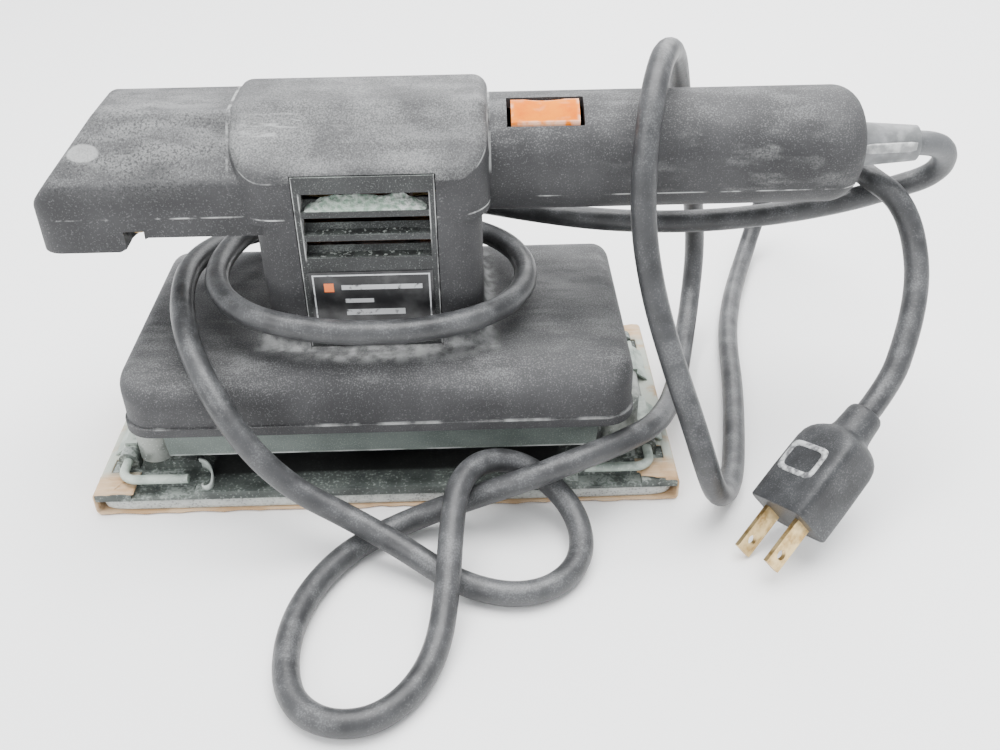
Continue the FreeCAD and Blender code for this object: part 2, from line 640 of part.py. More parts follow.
def housing_inside():
    """The hollow of the whole housing, less the bulkhead between dome and column."""
    under = dome("dome_inside", "wall", "dome_low - 1", size("wall"))
    room = column("column_inside", "wall", BULKHEAD_TOP + " - wall / 2", "palm_edge - 1")
    hollow = fuse("hollow_whole", under, room, palm("palm_inside", "wall", "parting - 2"),
                  knob("knob_inside", "wall"), handle("handle_inside", "wall"))
    keep = [rod("low_bearing_boss", "low_bearing_radius + boss_wall",
                "low_bearing_low - bearing_lip", BULKHEAD_TOP)]
    for number, (side, across) in enumerate(post_places()):
        keep.append(rod("post_boss_%d" % number, "post_radius", "dome_low", "dome_top",
                        ("%s * post_x" % side, "%s * post_y" % across)))
        ledge_x = ("%s * stator_half_length - 4" % side, "%s * stator_half_length + 4" % side)
        ledge_y = ("%s * stator_half_width - 4" % across, "%s * stator_half_width + 4" % across)
        keep.append(box("stator_ledge_%d" % number, ledge_x, ledge_y,
                        ("dome_top - wall", "stator_low")))
    low = "top_bearing_low - bearing_lip"
    across_panels = "panel_half + panel_flange + 4"
    keep.append(rod("top_bearing_boss", "top_bearing_radius + boss_wall", low,
                    "top_bearing_low + top_bearing_width + bearing_lip"))
    keep.append(box("top_bridge", (minus(across_panels), across_panels),
                    ("-column_half_width + wall + panel_flange_thick + part_gap",
                     "column_half_width - wall - panel_flange_thick - part_gap"),
                    (low, low + " + wall")))
    for end, sign in (("front", -1), ("rear", 1)):
        keep.append(box("bridge_tab_" + end,
                        sorted_pair(sign, "panel_half + part_gap", across_panels),
                        ("-column_half_width + wall / 2", "column_half_width - wall / 2"),
                        (low, low + " + wall")))
    keep.append(box("cord_saddle", ("saddle_low", "saddle_high"),
                    ("-saddle_half", "saddle_half"),
                    ("handle_axis - handle_radius", "boot_axis - cord_radius")))
    for number, (x, y) in enumerate(cover_screw_places()):
        keep.append(rod("screw_boss_%d" % number, "boss_radius",
                        "handle_axis - handle_radius - 5", "palm_top", (x, y)))
    return cut("hollow", hollow, *keep)


def cover_screw_places():
    """Centres of the three screws that hold the cover: two in the knob, one in the handle."""
    return [("-knob_screw_x", "-knob_screw_y"), ("-knob_screw_x", "knob_screw_y"),
            ("handle_screw_x", "0")]


def housing_holes():
    """Everything that passes through the shells, each tied to the piece it serves."""
    holes = [
        rod("low_seat", "low_bearing_radius + running_gap / 2", "low_bearing_low",
            BULKHEAD_TOP + " + 1"),
        rod("low_shaft_hole", "low_bearing_radius - shoulder_width",
            "low_bearing_low - bearing_lip - 1", "low_bearing_low + 1"),
        rod("top_seat", "top_bearing_radius + running_gap / 2", "top_bearing_low - bearing_lip - 1",
            "top_bearing_low + top_bearing_width"),
        box("switch_window", ("switch_x - button_half_length - button_gap",
                              "switch_x + button_half_length + button_gap"),
            ("switch_y - button_half_width - button_gap / 2",
             "switch_y + button_half_width + window_far_gap"),
            ("handle_axis", "handle_axis + handle_radius + 5")),
        rod("boot_hole", "boot_base_radius + running_gap", "handle_end - wall - 1",
            "handle_end + 5", ("0", "boot_axis"), "x"),
    ]
    for row, across in (("near", "-1"), ("far", "1")):
        face = "%s * column_half_width" % across
        holes.append(box("panel_window_" + row, ("-panel_half - part_gap", "panel_half + part_gap"),
                         (face + " - wall - 0.1", face + " + wall + 0.1"),
                         ("panel_low - part_gap", "panel_top + part_gap")))
        turn = "%s * strap_screw_y" % across
        holes.append(rod("strap_hole_" + row, "screw_radius + running_gap",
                         "boot_axis - cord_radius - 7", "boot_axis",
                         ("(saddle_low + saddle_high) / 2", turn)))
    for number, (x, y) in enumerate(cover_screw_places()):
        low = "knob_low" if number < 2 else "handle_axis - handle_radius + 2.5"
        holes.append(rod("screw_hole_%d" % number, "screw_radius + running_gap",
                         "knob_boss_low - 5", "parting + 12", (x, y)))
        holes.append(rod("screw_recess_%d" % number, "screw_head + 3 * running_gap",
                         "knob_boss_low - 5", low + " + screw_head_height", (x, y)))
    for number, across in enumerate(("-1", "1")):
        holes.append(box("screw_scallop_%d" % number,
                         ("-knob_screw_x - screw_head", "-knob_screw_x + screw_head"),
                         tuple(sorted_pair(int(across), "knob_screw_y", "knob_half_width + 5")),
                         ("knob_boss_low - 5", "knob_low + screw_head_height")))
    for step in range(8):
        angle = math.pi / 4 * (step + 0.5)
        place = ("%.4f * (fan_radius - 9)" % math.cos(angle),
                 "%.4f * (fan_radius - 11)" % math.sin(angle))
        holes.append(rod("air_hole_%d" % step, "3.2", "dome_top - wall - 1",
                         BULKHEAD_TOP + " + 1", place))
    return holes


def make_housing():
    """The lower housing and the upper cover, parted by one level plane."""
    outside = housing_outside()
    shell = cut("housing_shell", outside, housing_inside())
    holes = housing_holes()
    whole = cut("housing_whole", shell, *holes)
    reach = ("-knob_nose - knob_bow - 10", "handle_end + 10")
    width = ("-dome_half_width - 10", "dome_half_width + 10")
    saddle = box("saddle_region", ("saddle_low", "saddle_high"),
                 ("-saddle_half", "saddle_half"), ("parting", "boot_axis - cord_radius"))
    below = box("below_parting", reach, width, ("dome_low - 10", "parting"))
    above = box("above_parting", reach, width, ("parting", "palm_top + 10"))
    node("lower_housing", common("lower_shell", whole, fuse("lower_region", below, saddle)))
    node("upper_cover", common("upper_shell", whole, cut("upper_region", above, saddle)))


def make_skirt():
    """Air skirt that hangs from the dome round the fan, with sloping ends."""
    def band(name, inset):
        top_x = "(skirt_half_length - %s)" % inset
        low_x = "(skirt_half_length - skirt_slope - %s)" % inset
        extra = "1" if inset != "0" else "0"
        return prism(name, "XZ", [(minus(low_x), "skirt_low - " + extra),
                                  (low_x, "skirt_low - " + extra),
                                  (top_x, "skirt_flange + " + extra),
                                  (minus(top_x), "skirt_flange + " + extra)],
                     "-skirt_half_width + " + inset, "skirt_half_width - " + inset)
    flange = box("skirt_rim", ("-skirt_half_length + 2", "skirt_half_length - 2"),
                 ("-dome_half_width + wall + part_gap", "dome_half_width - wall - part_gap"),
                 ("skirt_flange - 2", "skirt_flange"))
    node("dust_skirt", cut("skirt", fuse("skirt_whole", band("skirt_outer", "0"), flange),
                           band("skirt_inner", "skirt_wall")))


def make_panels():
    """Louvred panels that close the near and far sides of the motor column."""
    for row, across in (("near", -1), ("far", 1)):
        face = tuple(sorted_pair(across, "column_half_width - wall",
                                 "column_half_width + part_gap / 2"))
        slab = box("panel_slab_" + row, ("-panel_half", "panel_half"), face,
                   ("panel_low", "panel_top"))
        back = tuple(sorted_pair(across, "column_half_width - wall - panel_flange_thick",
                                 "column_half_width - wall"))
        flange = box("panel_back_" + row, ("-panel_half - panel_flange",
                                           "panel_half + panel_flange"), back,
                     (BULKHEAD_TOP + " + 1", "parting + 6"))
        slots = []
        vanes = []
        root = "-column_half_width + wall + panel_flange_thick"
        for step in range(3):
            low = "slot_low + %d * slot_pitch" % step
            vane = prism("vane_%s_%d" % (row, step), "YZ",
                         [(root + " - panel_flange_thick / 2", low + " - vane_thick"),
                          (root + " + vane_reach", low + " + vane_reach - vane_thick / 2"),
                          (root + " + vane_reach", low + " + vane_reach + vane_thick / 2"),
                          (root + " - panel_flange_thick / 2", low)],
                         "-slot_half", "slot_half")
            if across > 0:
                vane = mirrored_solid("vane_far_side_%d" % step, vane)
            vanes.append(vane)
            depth = tuple(sorted_pair(across, "column_half_width - wall - 3",
                                      "column_half_width + 3"))
            slots.append(box("slot_%s_%d" % (row, step), ("-slot_half", "slot_half"), depth,
                             (low, low + " + slot_height")))
        pierced = cut("panel_pierced_" + row, fuse("panel_whole_" + row, slab, flange), *slots)
        node("vent_panel_" + row, fuse("panel_" + row, pierced, *vanes))
    node("label_plate", box("label_block", ("-label_half", "label_half"),
                            ("-column_half_width - part_gap / 2 - label_thick",
                             "-column_half_width - part_gap / 2"),
                            ("label_low", "label_top")))


def make_cover_screws():
    """Three screws driven up through the lower housing into the cover."""
    screws = []
    for number, (x, y) in enumerate(cover_screw_places()):
        low = "knob_low" if number < 2 else "handle_axis - handle_radius + 2.5"
        seat = "(%s + screw_head_height)" % low
        head = rod("cover_screw_head_%d" % number, "screw_head", low, seat, (x, y))
        shank = rod("cover_screw_shank_%d" % number, "screw_radius", low, "parting + 11", (x, y))
        screws.append(fuse("cover_screw_%d" % number, head, shank))
    node("cover_screws", compound("cover_screw_set", screws))


# ---------------------------------------------------------------- bearings
def make_bearing(name, radius, bore, low, width, centre=("0", "0")):
    """A ball bearing: outer race, inner race and a ring of balls between them."""
    high = "%s + %s" % (low, width)
    race = "(race_wall)"
    node(name + "_outer", revolved_body(name + "_outer_body", [
        ("%s - %s" % (radius, race), low), (radius, low), (radius, high),
        ("%s - %s" % (radius, race), high)], centre))
    node(name + "_inner", revolved_body(name + "_inner_body", [
        (bore, low), ("%s + %s" % (bore, race), low), ("%s + %s" % (bore, race), high),
        (bore, high)], centre))
    outer_run = size(radius) - size("race_wall")
    inner_run = size(bore.split(" ")[0]) + size("race_wall")
    ball = (outer_run - inner_run) / 2 - size("running_gap") * 2
    ring = (outer_run + inner_run) / 2
    middle = size(low) + size(width) / 2
    shift = V(size("orbit_radius") if centre[0] != "0" else 0.0, 0, 0)
    count = int(math.pi * ring / (1.35 * ball))
    balls = [Part.makeSphere(ball, shift + V(ring * math.cos(2 * math.pi * i / count),
                                             ring * math.sin(2 * math.pi * i / count), middle))
             for i in range(count)]
    node(name + "_balls", shaped(name + "_ball_set", Part.makeCompound(balls)))


# ---------------------------------------------------------------- motor
def make_shaft():
    """Motor shaft, the crank block on its foot and the offset pin under it."""
    node("motor_shaft", rod("shaft_rod", "shaft_radius", "shaft_low", "shaft_top"))


def make_eccentric():
    """Crank block with the offset pin, the counterweight opposite and the pin's screw."""
    centre = ("orbit_radius", "0")
    block = rod("crank_block", "crank_radius", "crank_low", "crank_low + crank_height")
    pin = rod("crank_pin", "pin_radius - running_gap / 2", "platen_bearing_low",
              "crank_low + 1", centre)
    shaft_hole = rod("crank_bore", "shaft_radius + running_gap", "shaft_low",
                     "crank_low + crank_height + 1")
    screw_hole = rod("crank_thread", "screw_radius + running_gap", "platen_bearing_low - 1",
                     "shaft_low - 3", centre)
    node("eccentric_pin", cut("crank", fuse("crank_whole", block, pin), shaft_hole, screw_hole))

    washer = rod("pin_washer", "pin_radius + race_wall", "platen_bearing_low - 1.2",
                 "platen_bearing_low", centre)
    head = rod("pin_screw_head", "screw_head", "platen_bearing_low - 3.2",
               "platen_bearing_low - 1", centre)
    shank = rod("pin_screw_shank", "screw_radius", "platen_bearing_low - 2", "shaft_low - 4",
                centre)
    node("eccentric_screw", fuse("pin_screw", washer, head, shank))

    disc = rod("weight_disc", "weight_radius", "weight_low", "weight_low + weight_height")
    half = box("weight_half", ("-weight_radius - 1", "-crank_radius / 2"),
               ("-weight_radius - 1", "weight_radius + 1"),
               ("weight_low - 1", "weight_low + weight_height + 1"))
    ring = rod("weight_ring", "crank_radius + 3", "weight_low", "weight_low + weight_height")
    solid = fuse("weight_whole", common("weight_sector", disc, half), ring)
    node("counterweight", cut("weight", solid, rod("weight_bore", "crank_radius + running_gap",
                                                   "weight_low - 1",
                                                   "weight_low + weight_height + 1")))


def make_fan():
    """Cooling fan: a plate, a hub and eleven upright blades."""
    top = "fan_low + fan_height"
    plate = rod("fan_disc", "fan_radius", "fan_low", "fan_low + fan_plate")
    hub = rod("fan_hub", "shaft_radius + 4", "fan_low", top)
    blades = []
    count = 11
    for step in range(count):
        blade = doc.addObject("Part::Box", "fan_blade_%d" % step)
        bind(blade, "Length", "fan_radius - shaft_radius - 4")
        bind(blade, "Width", "fan_blade")
        bind(blade, "Height", "fan_height")
        angle = 360.0 * step / count
        blade.Placement = FreeCAD.Placement(V(), FreeCAD.Rotation(V(0, 0, 1), angle))
        bind(blade, "Placement.Base.x", "(shaft_radius + 3.5) * %.6f" %
             math.cos(math.radians(angle)))
        bind(blade, "Placement.Base.y", "(shaft_radius + 3.5) * %.6f" %
             math.sin(math.radians(angle)))
        bind(blade, "Placement.Base.z", "fan_low")
        blades.append(blade)
    whole = fuse("fan_whole", plate, hub, *blades)
    node("cooling_fan", cut("fan", whole, rod("fan_bore", "shaft_radius + running_gap",
                                              "fan_low - 1", top + " + 1")))


def make_motor():
    """Universal motor: slotted stator, two field coils, wound armature, commutator."""
    block = rounded_block("stator_block", ("-stator_half_length", "stator_half_length"),
                          ("-stator_half_width", "stator_half_width"),
                          ("stator_low", STATOR_TOP), 8.0)
    tools = [rod("stator_hole", "stator_bore", "stator_low - 1", STATOR_TOP + " + 1")]
    coils = []
    gap = "part_gap"
    for row, across in (("near", -1), ("far", 1)):
        thick = sorted_pair(across, "coil_offset", "coil_offset + coil_thick")
        wide = sorted_pair(across, "coil_offset - %s" % gap,
                           "coil_offset + coil_thick + %s" % gap)
        for end, along in (("front", -1), ("rear", 1)):
            leg = sorted_pair(along, "coil_reach - coil_slot + %s" % gap,
                              "coil_reach + %s" % gap)
            tools.append(box("coil_slot_%s_%s" % (row, end), leg, wide,
                             ("stator_low - 1", STATOR_TOP + " + 1")))
        outer = box("coil_outer_" + row, ("-coil_reach", "coil_reach"), thick,
                    ("stator_low - coil_slot", STATOR_TOP + " + coil_slot"))
        inner = box("coil_inner_" + row, ("-coil_reach + coil_slot - 2 * %s" % gap,
                                          "coil_reach - coil_slot + 2 * %s" % gap),
                    sorted_pair(across, "coil_offset - 1", "coil_offset + coil_thick + 1"),
                    ("stator_low - " + gap, STATOR_TOP + " + " + gap))
        coils.append(cut("coil_" + row, outer, inner))
    node("stator_core", cut("stator", block, *tools))
    node("field_coils", compound("coil_set", coils))

    core = rod("core_stack", "stator_bore - air_gap", "stator_low + 1", STATOR_TOP + " - 1")
    slots = []
    count = 12
    for step in range(count):
        angle = 2 * math.pi * step / count
        slots.append(rod("core_slot_%d" % step, "1.3", "stator_low", STATOR_TOP,
                         ("(stator_bore - air_gap - 1.0) * %.6f" % math.cos(angle),
                          "(stator_bore - air_gap - 1.0) * %.6f" % math.sin(angle))))
    slots.append(rod("core_bore", "shaft_radius + running_gap", "stator_low", STATOR_TOP))
    node("armature_core", cut("core", core, *slots))

    rings = []
    for end, low, high in (("low", "stator_low + 1 - winding_height / 2", "stator_low + 1"),
                           ("top", STATOR_TOP + " - 1", STATOR_TOP + " - 1 + winding_height")):
        ring = rod("winding_ring_" + end, "winding_radius", low, high)
        hole = rod("winding_hole_" + end, "shaft_radius + running_gap", low + " - 1",
                   high + " + 1")
        rings.append(cut("winding_" + end, ring, hole))
    node("armature_windings", compound("winding_set", rings))

    top = "commutator_low + commutator_height"
    barrel = rod("commutator_barrel", "commutator_radius", "commutator_low", top)
    riser = rod("commutator_riser", "commutator_radius + 0.8", "commutator_low",
                "commutator_low + 1.5")
    hole = rod("commutator_bore", "shaft_radius + running_gap", "commutator_low - 1",
               top + " + 1")
    node("commutator", cut("commutator_ring", fuse("commutator_whole", barrel, riser), hole))


def make_brushes():
    """Carbon brushes in brass holders that reach in from the column's end walls."""
    brushes = []
    holders = []
    springs = []
    for end, along in (("front", -1), ("rear", 1)):
        inner = "commutator_radius + part_gap"
        back = "commutator_radius + part_gap + brush_length"
        cavity = "column_half_length - wall"
        low_z = BRUSH_Z + " - brush_height / 2"
        high_z = BRUSH_Z + " + brush_height / 2"
        brushes.append(box("brush_" + end, sorted_pair(along, inner, back),
                           ("-brush_width / 2", "brush_width / 2"), (low_z, high_z)))
        shell = box("holder_shell_" + end, sorted_pair(along, "holder_start", cavity),
                    ("-brush_width / 2 - holder_wall", "brush_width / 2 + holder_wall"),
                    (low_z + " - holder_wall", high_z + " + holder_wall"))
        hole = box("holder_hole_" + end, sorted_pair(along, "holder_start - 1",
                                                     cavity + " - holder_wall"),
                   ("-brush_width / 2 - running_gap", "brush_width / 2 + running_gap"),
                   (low_z + " - running_gap", high_z + " + running_gap"))
        holders.append(cut("holder_" + end, shell, hole))
        springs.append(rod("brush_spring_" + end, "brush_width / 2 - 0.5",
                           *sorted_pair(along, back, cavity + " - holder_wall"),
                           ("0", BRUSH_Z), "x"))
    node("carbon_brushes", compound("brush_set", brushes))
    node("brush_holders", compound("holder_set", holders))
    node("brush_springs", compound("brush_spring_set", springs))


# ---------------------------------------------------------------- switch and cord
def make_switch():
    """Rocker switch in the top of the rear handle, its button snapped on a lug's round pivots."""
    low = BUTTON_SEAT + " - switch_height"
    pivot = ("switch_x", "pivot_height")
    lug_side = ("switch_y - pivot_lug_thick / 2", "switch_y + pivot_lug_thick / 2")
    frame = box("switch_block", ("switch_x - switch_half_length", "switch_x + switch_half_length"),
                ("switch_y - switch_half_width", "switch_y + switch_half_width"),
                (low, BUTTON_SEAT))
    lug = box("switch_lug", ("switch_x - pivot_lug_half", "switch_x + pivot_lug_half"), lug_side,
              (low, "pivot_height"))
    lug_end = rod("switch_lug_end", "pivot_lug_half", *lug_side, pivot, "y")
    pivots = rod("switch_pivots", "pivot_radius", "switch_y - pivot_half",
                 "switch_y + pivot_half", pivot, "y")
    node("switch_body", fuse("switch_base", frame, lug, lug_end, pivots))
    front = "switch_x - button_half_length"
    rear = "switch_x + button_half_length"
    crown = "handle_axis + handle_radius + button_proud"
    side = ("switch_y - button_half_width", "switch_y + button_half_width")
    wedge = prism("button_wedge", "XZ", [(front, "button_low"), ("switch_x", "button_low"),
                                         (rear, "button_low + button_throw"), (rear, crown),
                                         (front, crown)], *side)
    curve = rod("button_curve", "handle_radius + button_proud", front, rear,
                ("0", "handle_axis"), "x")
    dish = rod("button_hollow", "4 * button_half_length", *side,
               ("switch_x", crown + " + 4 * button_half_length - button_dish"), "y")
    pocket = box("button_pocket", ("switch_x - pivot_lug_half - button_gap",
                                   "switch_x + pivot_lug_half + button_gap"),
                 (lug_side[0] + " - part_gap", lug_side[1] + " + part_gap"),
                 ("button_low - 1", "pivot_height + pivot_lug_half + part_gap"))
    bores = rod("button_bores", "pivot_radius + running_gap", "switch_y - pivot_half - part_gap",
                "switch_y + pivot_half + part_gap", pivot, "y")
    blank = common("button_blank", wedge, curve)
    node("switch_button", cut("button", blank, dish, pocket, bores))


def make_boot():
    """Tapered strain relief with a flange caught inside the handle's end."""
    sleeve = taper("boot_sleeve", "boot_base_radius", "boot_tip_radius", "handle_end - wall",
                   "boot_tip", ("0", "boot_axis"))
    flange = rod("boot_flange", "boot_flange", "handle_end - wall - 3",
                 "handle_end - wall", ("0", "boot_axis"), "x")
    bore = rod("boot_bore", "cord_radius + running_gap", "handle_end - wall - 4",
               "boot_tip + 1", ("0", "boot_axis"), "x")
    node("strain_relief", cut("boot", fuse("boot_whole", sleeve, flange), bore))


def make_cord_grip():
    """The lead's end inside the handle, the strap over it and the strap's two screws."""
    node("cord_tail", rod("tail", "cord_radius", "cord_inner", "boot_tip",
                          ("0", "boot_axis"), "x"))
    low = "boot_axis + cord_radius"
    strap = box("strap_block", ("saddle_low", "saddle_high"), ("-saddle_half", "saddle_half"),
                (low, low + " + strap_thick"))
    screws = []
    holes = []
    for row, across in (("near", "-1"), ("far", "1")):
        centre = ("(saddle_low + saddle_high) / 2", "%s * strap_screw_y" % across)
        head = rod("strap_head_" + row, "screw_head - 0.4", low + " + strap_thick",
                   low + " + strap_thick + 1.6", centre)
        shank = rod("strap_shank_" + row, "screw_radius", "boot_axis - cord_radius - 6",
                    low + " + strap_thick + 1", centre)
        screws.append(fuse("strap_screw_" + row, head, shank))
        holes.append(rod("strap_bore_" + row, "screw_radius + running_gap", low + " - 1",
                         low + " + strap_thick + 1", centre))
    node("cord_clamp", cut("strap", strap, *holes))
    node("clamp_screws", compound("strap_screw_set", screws))


def make_leads():
    """Two insulated leads from the cord's end to the switch, two on to the brushes."""
    inner = size("cord_inner")
    rear = size("switch_x") + size("switch_half_length")
    front = size("switch_x") - size("switch_half_length")
    axis = size("boot_axis")
    shift = size("switch_y")
    brush_z = size("commutator_low") + size("commutator_height") / 2
    cavity = size("column_half_length") - size("wall")
    boss = size("boss_radius") + 3
    terminal = size("terminal_y")
    leads = []
    for sign in (-1, 1):
        route = [V(inner, sign * 1.7, axis), V(inner - 4, sign * 1.7, axis),
                 V(inner - 9, sign * boss, axis),
                 V(inner - 28, sign * boss, axis + 1), V(rear + 12, shift + sign * terminal, axis + 2),
                 V(rear, shift + sign * terminal, axis + 2)]
        leads.append(tube(route, 1.1)[0])
    holder = size("brush_width") / 2 + size("holder_wall")
    leads.append(tube([V(front, shift + terminal, axis - 1),
                       V(front - 5, shift + terminal, axis - 1),
                       V(cavity, holder + 7.5, brush_z + 4), V(cavity - 5, holder + 6, brush_z),
                       V(cavity - 5, holder, brush_z)],
                      1.1)[0])
    leads.append(tube([V(front, shift - terminal, axis - 1),
                       V(front - 5, shift - terminal, axis - 1),
                       V(cavity - 2, -16.5, brush_z + 2), V(10, -20.0, brush_z + 2),
                       V(-12, -19.5, brush_z + 2), V(-cavity + 5, -holder - 6, brush_z),
                       V(-cavity + 5, -holder, brush_z)], 1.1)[0])
    node("internal_leads", shaped("lead_set", Part.makeCompound(leads)))


# The cord's route from the boot's tip to the plug's neck, each point chosen by hand.
CORD_ROUTE = [
    # out of the boot and folded back under it
    (167.0, 0.0, 101.5), (173.0, 0.0, 101.5), (178.3, 2.0, 97.7), (179.8, 5.0, 91.7),
    (176.8, 8.0, 86.2), (168.0, 10.0, 82.2), (154.0, 12.0, 76.6), (132.0, 13.0, 72.0),
    # under the rear handle, behind the column and once round it
    (104.0, 12.5, 70.0), (76.0, 15.0, 70.0), (52.0, 25.0, 69.0), (29.0, 39.5, 67.0),
    (1.0, 44.5, 66.0), (-27.0, 42.0, 65.0), (-47.0, 27.0, 64.5), (-53.5, 4.0, 64.0),
    (-49.5, -19.0, 65.0), (-33.5, -36.0, 65.0), (-7.0, -39.5, 62.0), (20.0, -37.5, 62.0),
    (41.5, -24.0, 61.0), (49.0, -3.0, 61.0), (42.5, 20.5, 60.5), (24.0, 38.5, 58.5),
    (-2.0, 45.5, 57.0), (-29.0, 44.5, 57.0),
    # down over the front of the dome to the floor
    (-51.5, 33.5, 59.0), (-63.5, 12.0, 61.5), (-62.5, -12.0, 62.0), (-57.0, -33.0, 58.5),
    (-48.0, -50.0, 50.5), (-37.0, -60.0, 36.5), (-25.0, -62.5, 22.5), (-9.0, -66.0, 14.0),
    (7.0, -74.0, 8.8), (23.0, -84.5, 4.2), (38.0, -90.2, 3.8), (49.8, -88.4, 3.8),
    # round the small loop, up against the skirt and over
    (58.5, -80.5, 3.8), (61.8, -69.2, 4.8), (59.2, -58.2, 8.2), (51.4, -50.6, 13.8),
    (42.0, -47.8, 19.0), (31.6, -50.8, 22.2), (24.4, -59.6, 21.8), (22.2, -73.5, 18.4),
    # back down to the large loop on the floor
    (21.0, -92.0, 10.6), (18.6, -108.5, 4.6), (13.0, -121.5, 3.8), (4.5, -130.2, 3.8),
    (-4.8, -132.6, 3.8), (-13.9, -130.0, 3.8), (-20.5, -123.0, 3.8), (-23.4, -110.5, 3.8),
    (-22.5, -95.5, 3.8),
    (-17.0, -80.5, 3.8), (-7.0, -67.5, 3.8),
    # along the platen's near side, past its corner and up behind the handle
    (8.0, -59.0, 5.2), (26.0, -57.5, 12.0), (44.0, -58.0, 19.4), (60.5, -54.0, 23.8),
    (75.0, -46.5, 24.0), (86.5, -37.5, 23.2), (94.0, -22.0, 19.0), (100.0, -3.0, 12.0),
    (105.5, 17.0, 7.0), (111.0, 38.0, 7.4), (116.0, 56.5, 16.0), (118.0, 66.0, 33.0),
    (115.0, 65.0, 54.0), (108.5, 54.0, 76.0), (101.5, 37.5, 100.0), (94.5, 19.5, 125.0),
    # arched over the handle and down its near side to a turn on the floor
    (88.0, 2.0, 131.5), (82.5, -15.5, 126.5), (79.5, -26.0, 110.5), (79.5, -30.5, 91.0),
    (83.0, -38.0, 71.5), (88.5, -48.5, 54.5), (94.0, -58.2, 40.0), (98.0, -63.0, 28.0),
    (102.5, -61.5, 15.5), (108.0, -53.0, 6.6), (113.5, -41.0, 3.8), (118.5, -20.0, 3.8),
    (124.5, 10.0, 3.8),
    # away over the floor behind, then up and over the first strand to the plug
    (129.0, 43.0, 3.8), (136.5, 71.0, 3.8), (144.0, 92.0, 3.8), (150.0, 107.5, 4.0),
    (155.5, 119.0, 11.4), (160.5, 125.5, 24.0), (164.5, 124.0, 38.5), (166.5, 115.5, 50.5),
    (167.5, 96.0, 60.0), (165.5, 73.0, 69.0), (161.5, 50.0, 77.5), (158.5, 30.0, 84.5),
    (155.8, 16.0, 87.4), (157.6, 4.4, 88.0), (163.4, -2.2, 85.4), (167.6, -6.8, 79.0),
    (169.3, -12.2, 71.8), (169.1, -18.9, 64.8), (166.8, -26.2, 57.5), (163.2, -33.4, 50.0),
    (158.2, -41.2, 41.2), (149.8, -48.1, 34.5),
]


def make_cord():
    """The free cord from the boot to the plug, and the plug with its two blades."""
    points = [V(*point) for point in CORD_ROUTE]
    radius = size("cord_radius")
    solid, length, radii = tube(points, radius)
    node("power_cord", shaped("cord", solid))
    section = math.pi * radius ** 2
    print("cord length %.1f mm, volume / (section x length) = %.5f"
          % (length, solid.Volume / (section * length)))
    print("cord bend radii in diameters:", " ".join("%.1f" % (r / radius / 2) for r in radii))

    # The plug is built along its own +X, from the cord's end, then laid in place.
    end = points[-1]
    heading = (points[-1] - points[-2]).normalize()
    angle = math.degrees(math.atan2(heading.y, heading.x))
    tilt = math.degrees(math.asin(-heading.z))
    turn = FreeCAD.Rotation(V(0, 0, 1), angle).multiply(FreeCAD.Rotation(V(0, 1, 0), tilt))
    turn = turn.multiply(FreeCAD.Rotation(V(1, 0, 0), size("plug_roll")))
    place = FreeCAD.Placement(end, turn)
    neck_length = size("plug_neck")
    length = size("plug_length")
    wide = size("plug_half_width")
    high = size("plug_half_height")
    neck = Part.makeCone(size("cord_radius") + 0.8, size("plug_neck_radius"), neck_length + 1,
                         V(0, 0, 0), V(1, 0, 0))
    block = Part.makeBox(length, 2 * wide, 2 * high, V(neck_length, -wide, -high))
    edges = [edge for edge in block.Edges if edge.CenterOfMass.x < neck_length + length - 1]
    block = block.makeFillet(4.0, edges)
    slots = []
    blades = []
    tip = neck_length + length + size("blade_length")
    root = neck_length + length - size("blade_root")
    for sign in (-1, 1):
        centre = sign * size("blade_spacing") / 2
        half = size("blade_thick") / 2
        tall = size("blade_width") / 2
        blade = Part.makeBox(tip - root, 2 * half, 2 * tall, V(root, centre - half, -tall))
        hole = Part.makeCylinder(size("blade_hole"), 4, V(tip - 4.5, centre - 2, 0), V(0, 1, 0))
        slots.append(blade)
        blades.append(blade.cut(hole))
    body = neck.fuse(block).cut(Part.makeCompound(slots)).removeSplitter()
    for name, shape in (("plug_body", body), ("plug_blades", Part.makeCompound(blades))):
        piece = node(name, shaped(name + "_shape", shape))
        piece.Placement = place


# ---------------------------------------------------------------- build everything
make_sheet()
make_pad()
make_platen()
make_posts()
make_clamp("front", -1)
make_clamp("rear", 1)
make_housing()
make_skirt()
make_panels()
make_cover_screws()
make_shaft()
make_eccentric()
make_fan()
make_motor()
make_brushes()
make_bearing("lower_bearing", "low_bearing_radius", "shaft_radius + running_gap / 2",
             "low_bearing_low", "low_bearing_width")
make_bearing("upper_bearing", "top_bearing_radius", "shaft_radius + running_gap / 2",
             "top_bearing_low", "top_bearing_width")
make_bearing("platen_bearing", "platen_bearing_radius", "pin_radius", "platen_bearing_low",
             "platen_bearing_width", ("orbit_radius", "0"))
make_switch()
make_boot()
make_cord_grip()
make_leads()
make_cord()

doc.recompute()

# ---------------------------------------------------------------- check and write
bad = [thing.Name for thing in doc.Objects
       if "Invalid" in thing.State or "Error" in thing.State]
if bad:
    raise RuntimeError("failed objects: " + ", ".join(bad))
for name, solid in NODES:
    shape = solid.Shape
    if shape.isNull() or not shape.isValid() or not shape.Solids:
        raise RuntimeError(name + " has no valid solid")

os.makedirs("parts", exist_ok=True)
for name, solid in NODES:
    solid.Shape.exportStep("parts/%s.step" % name)
    print("%-24s solids %2d  volume %10.1f" % (name, len(solid.Shape.Solids), solid.Shape.Volume))
print(len(NODES), "nodes")
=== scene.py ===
"""Looks of the finishing sander: materials, soft pieces, the lead and its plug, in metres.

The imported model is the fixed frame.  +X runs from the front knob to the lead, +Y to the far
side, +Z up, and the origin is the middle of the sanding face.
"""
import json
import math

import bmesh
import bpy
from mathutils import Matrix, Vector, noise


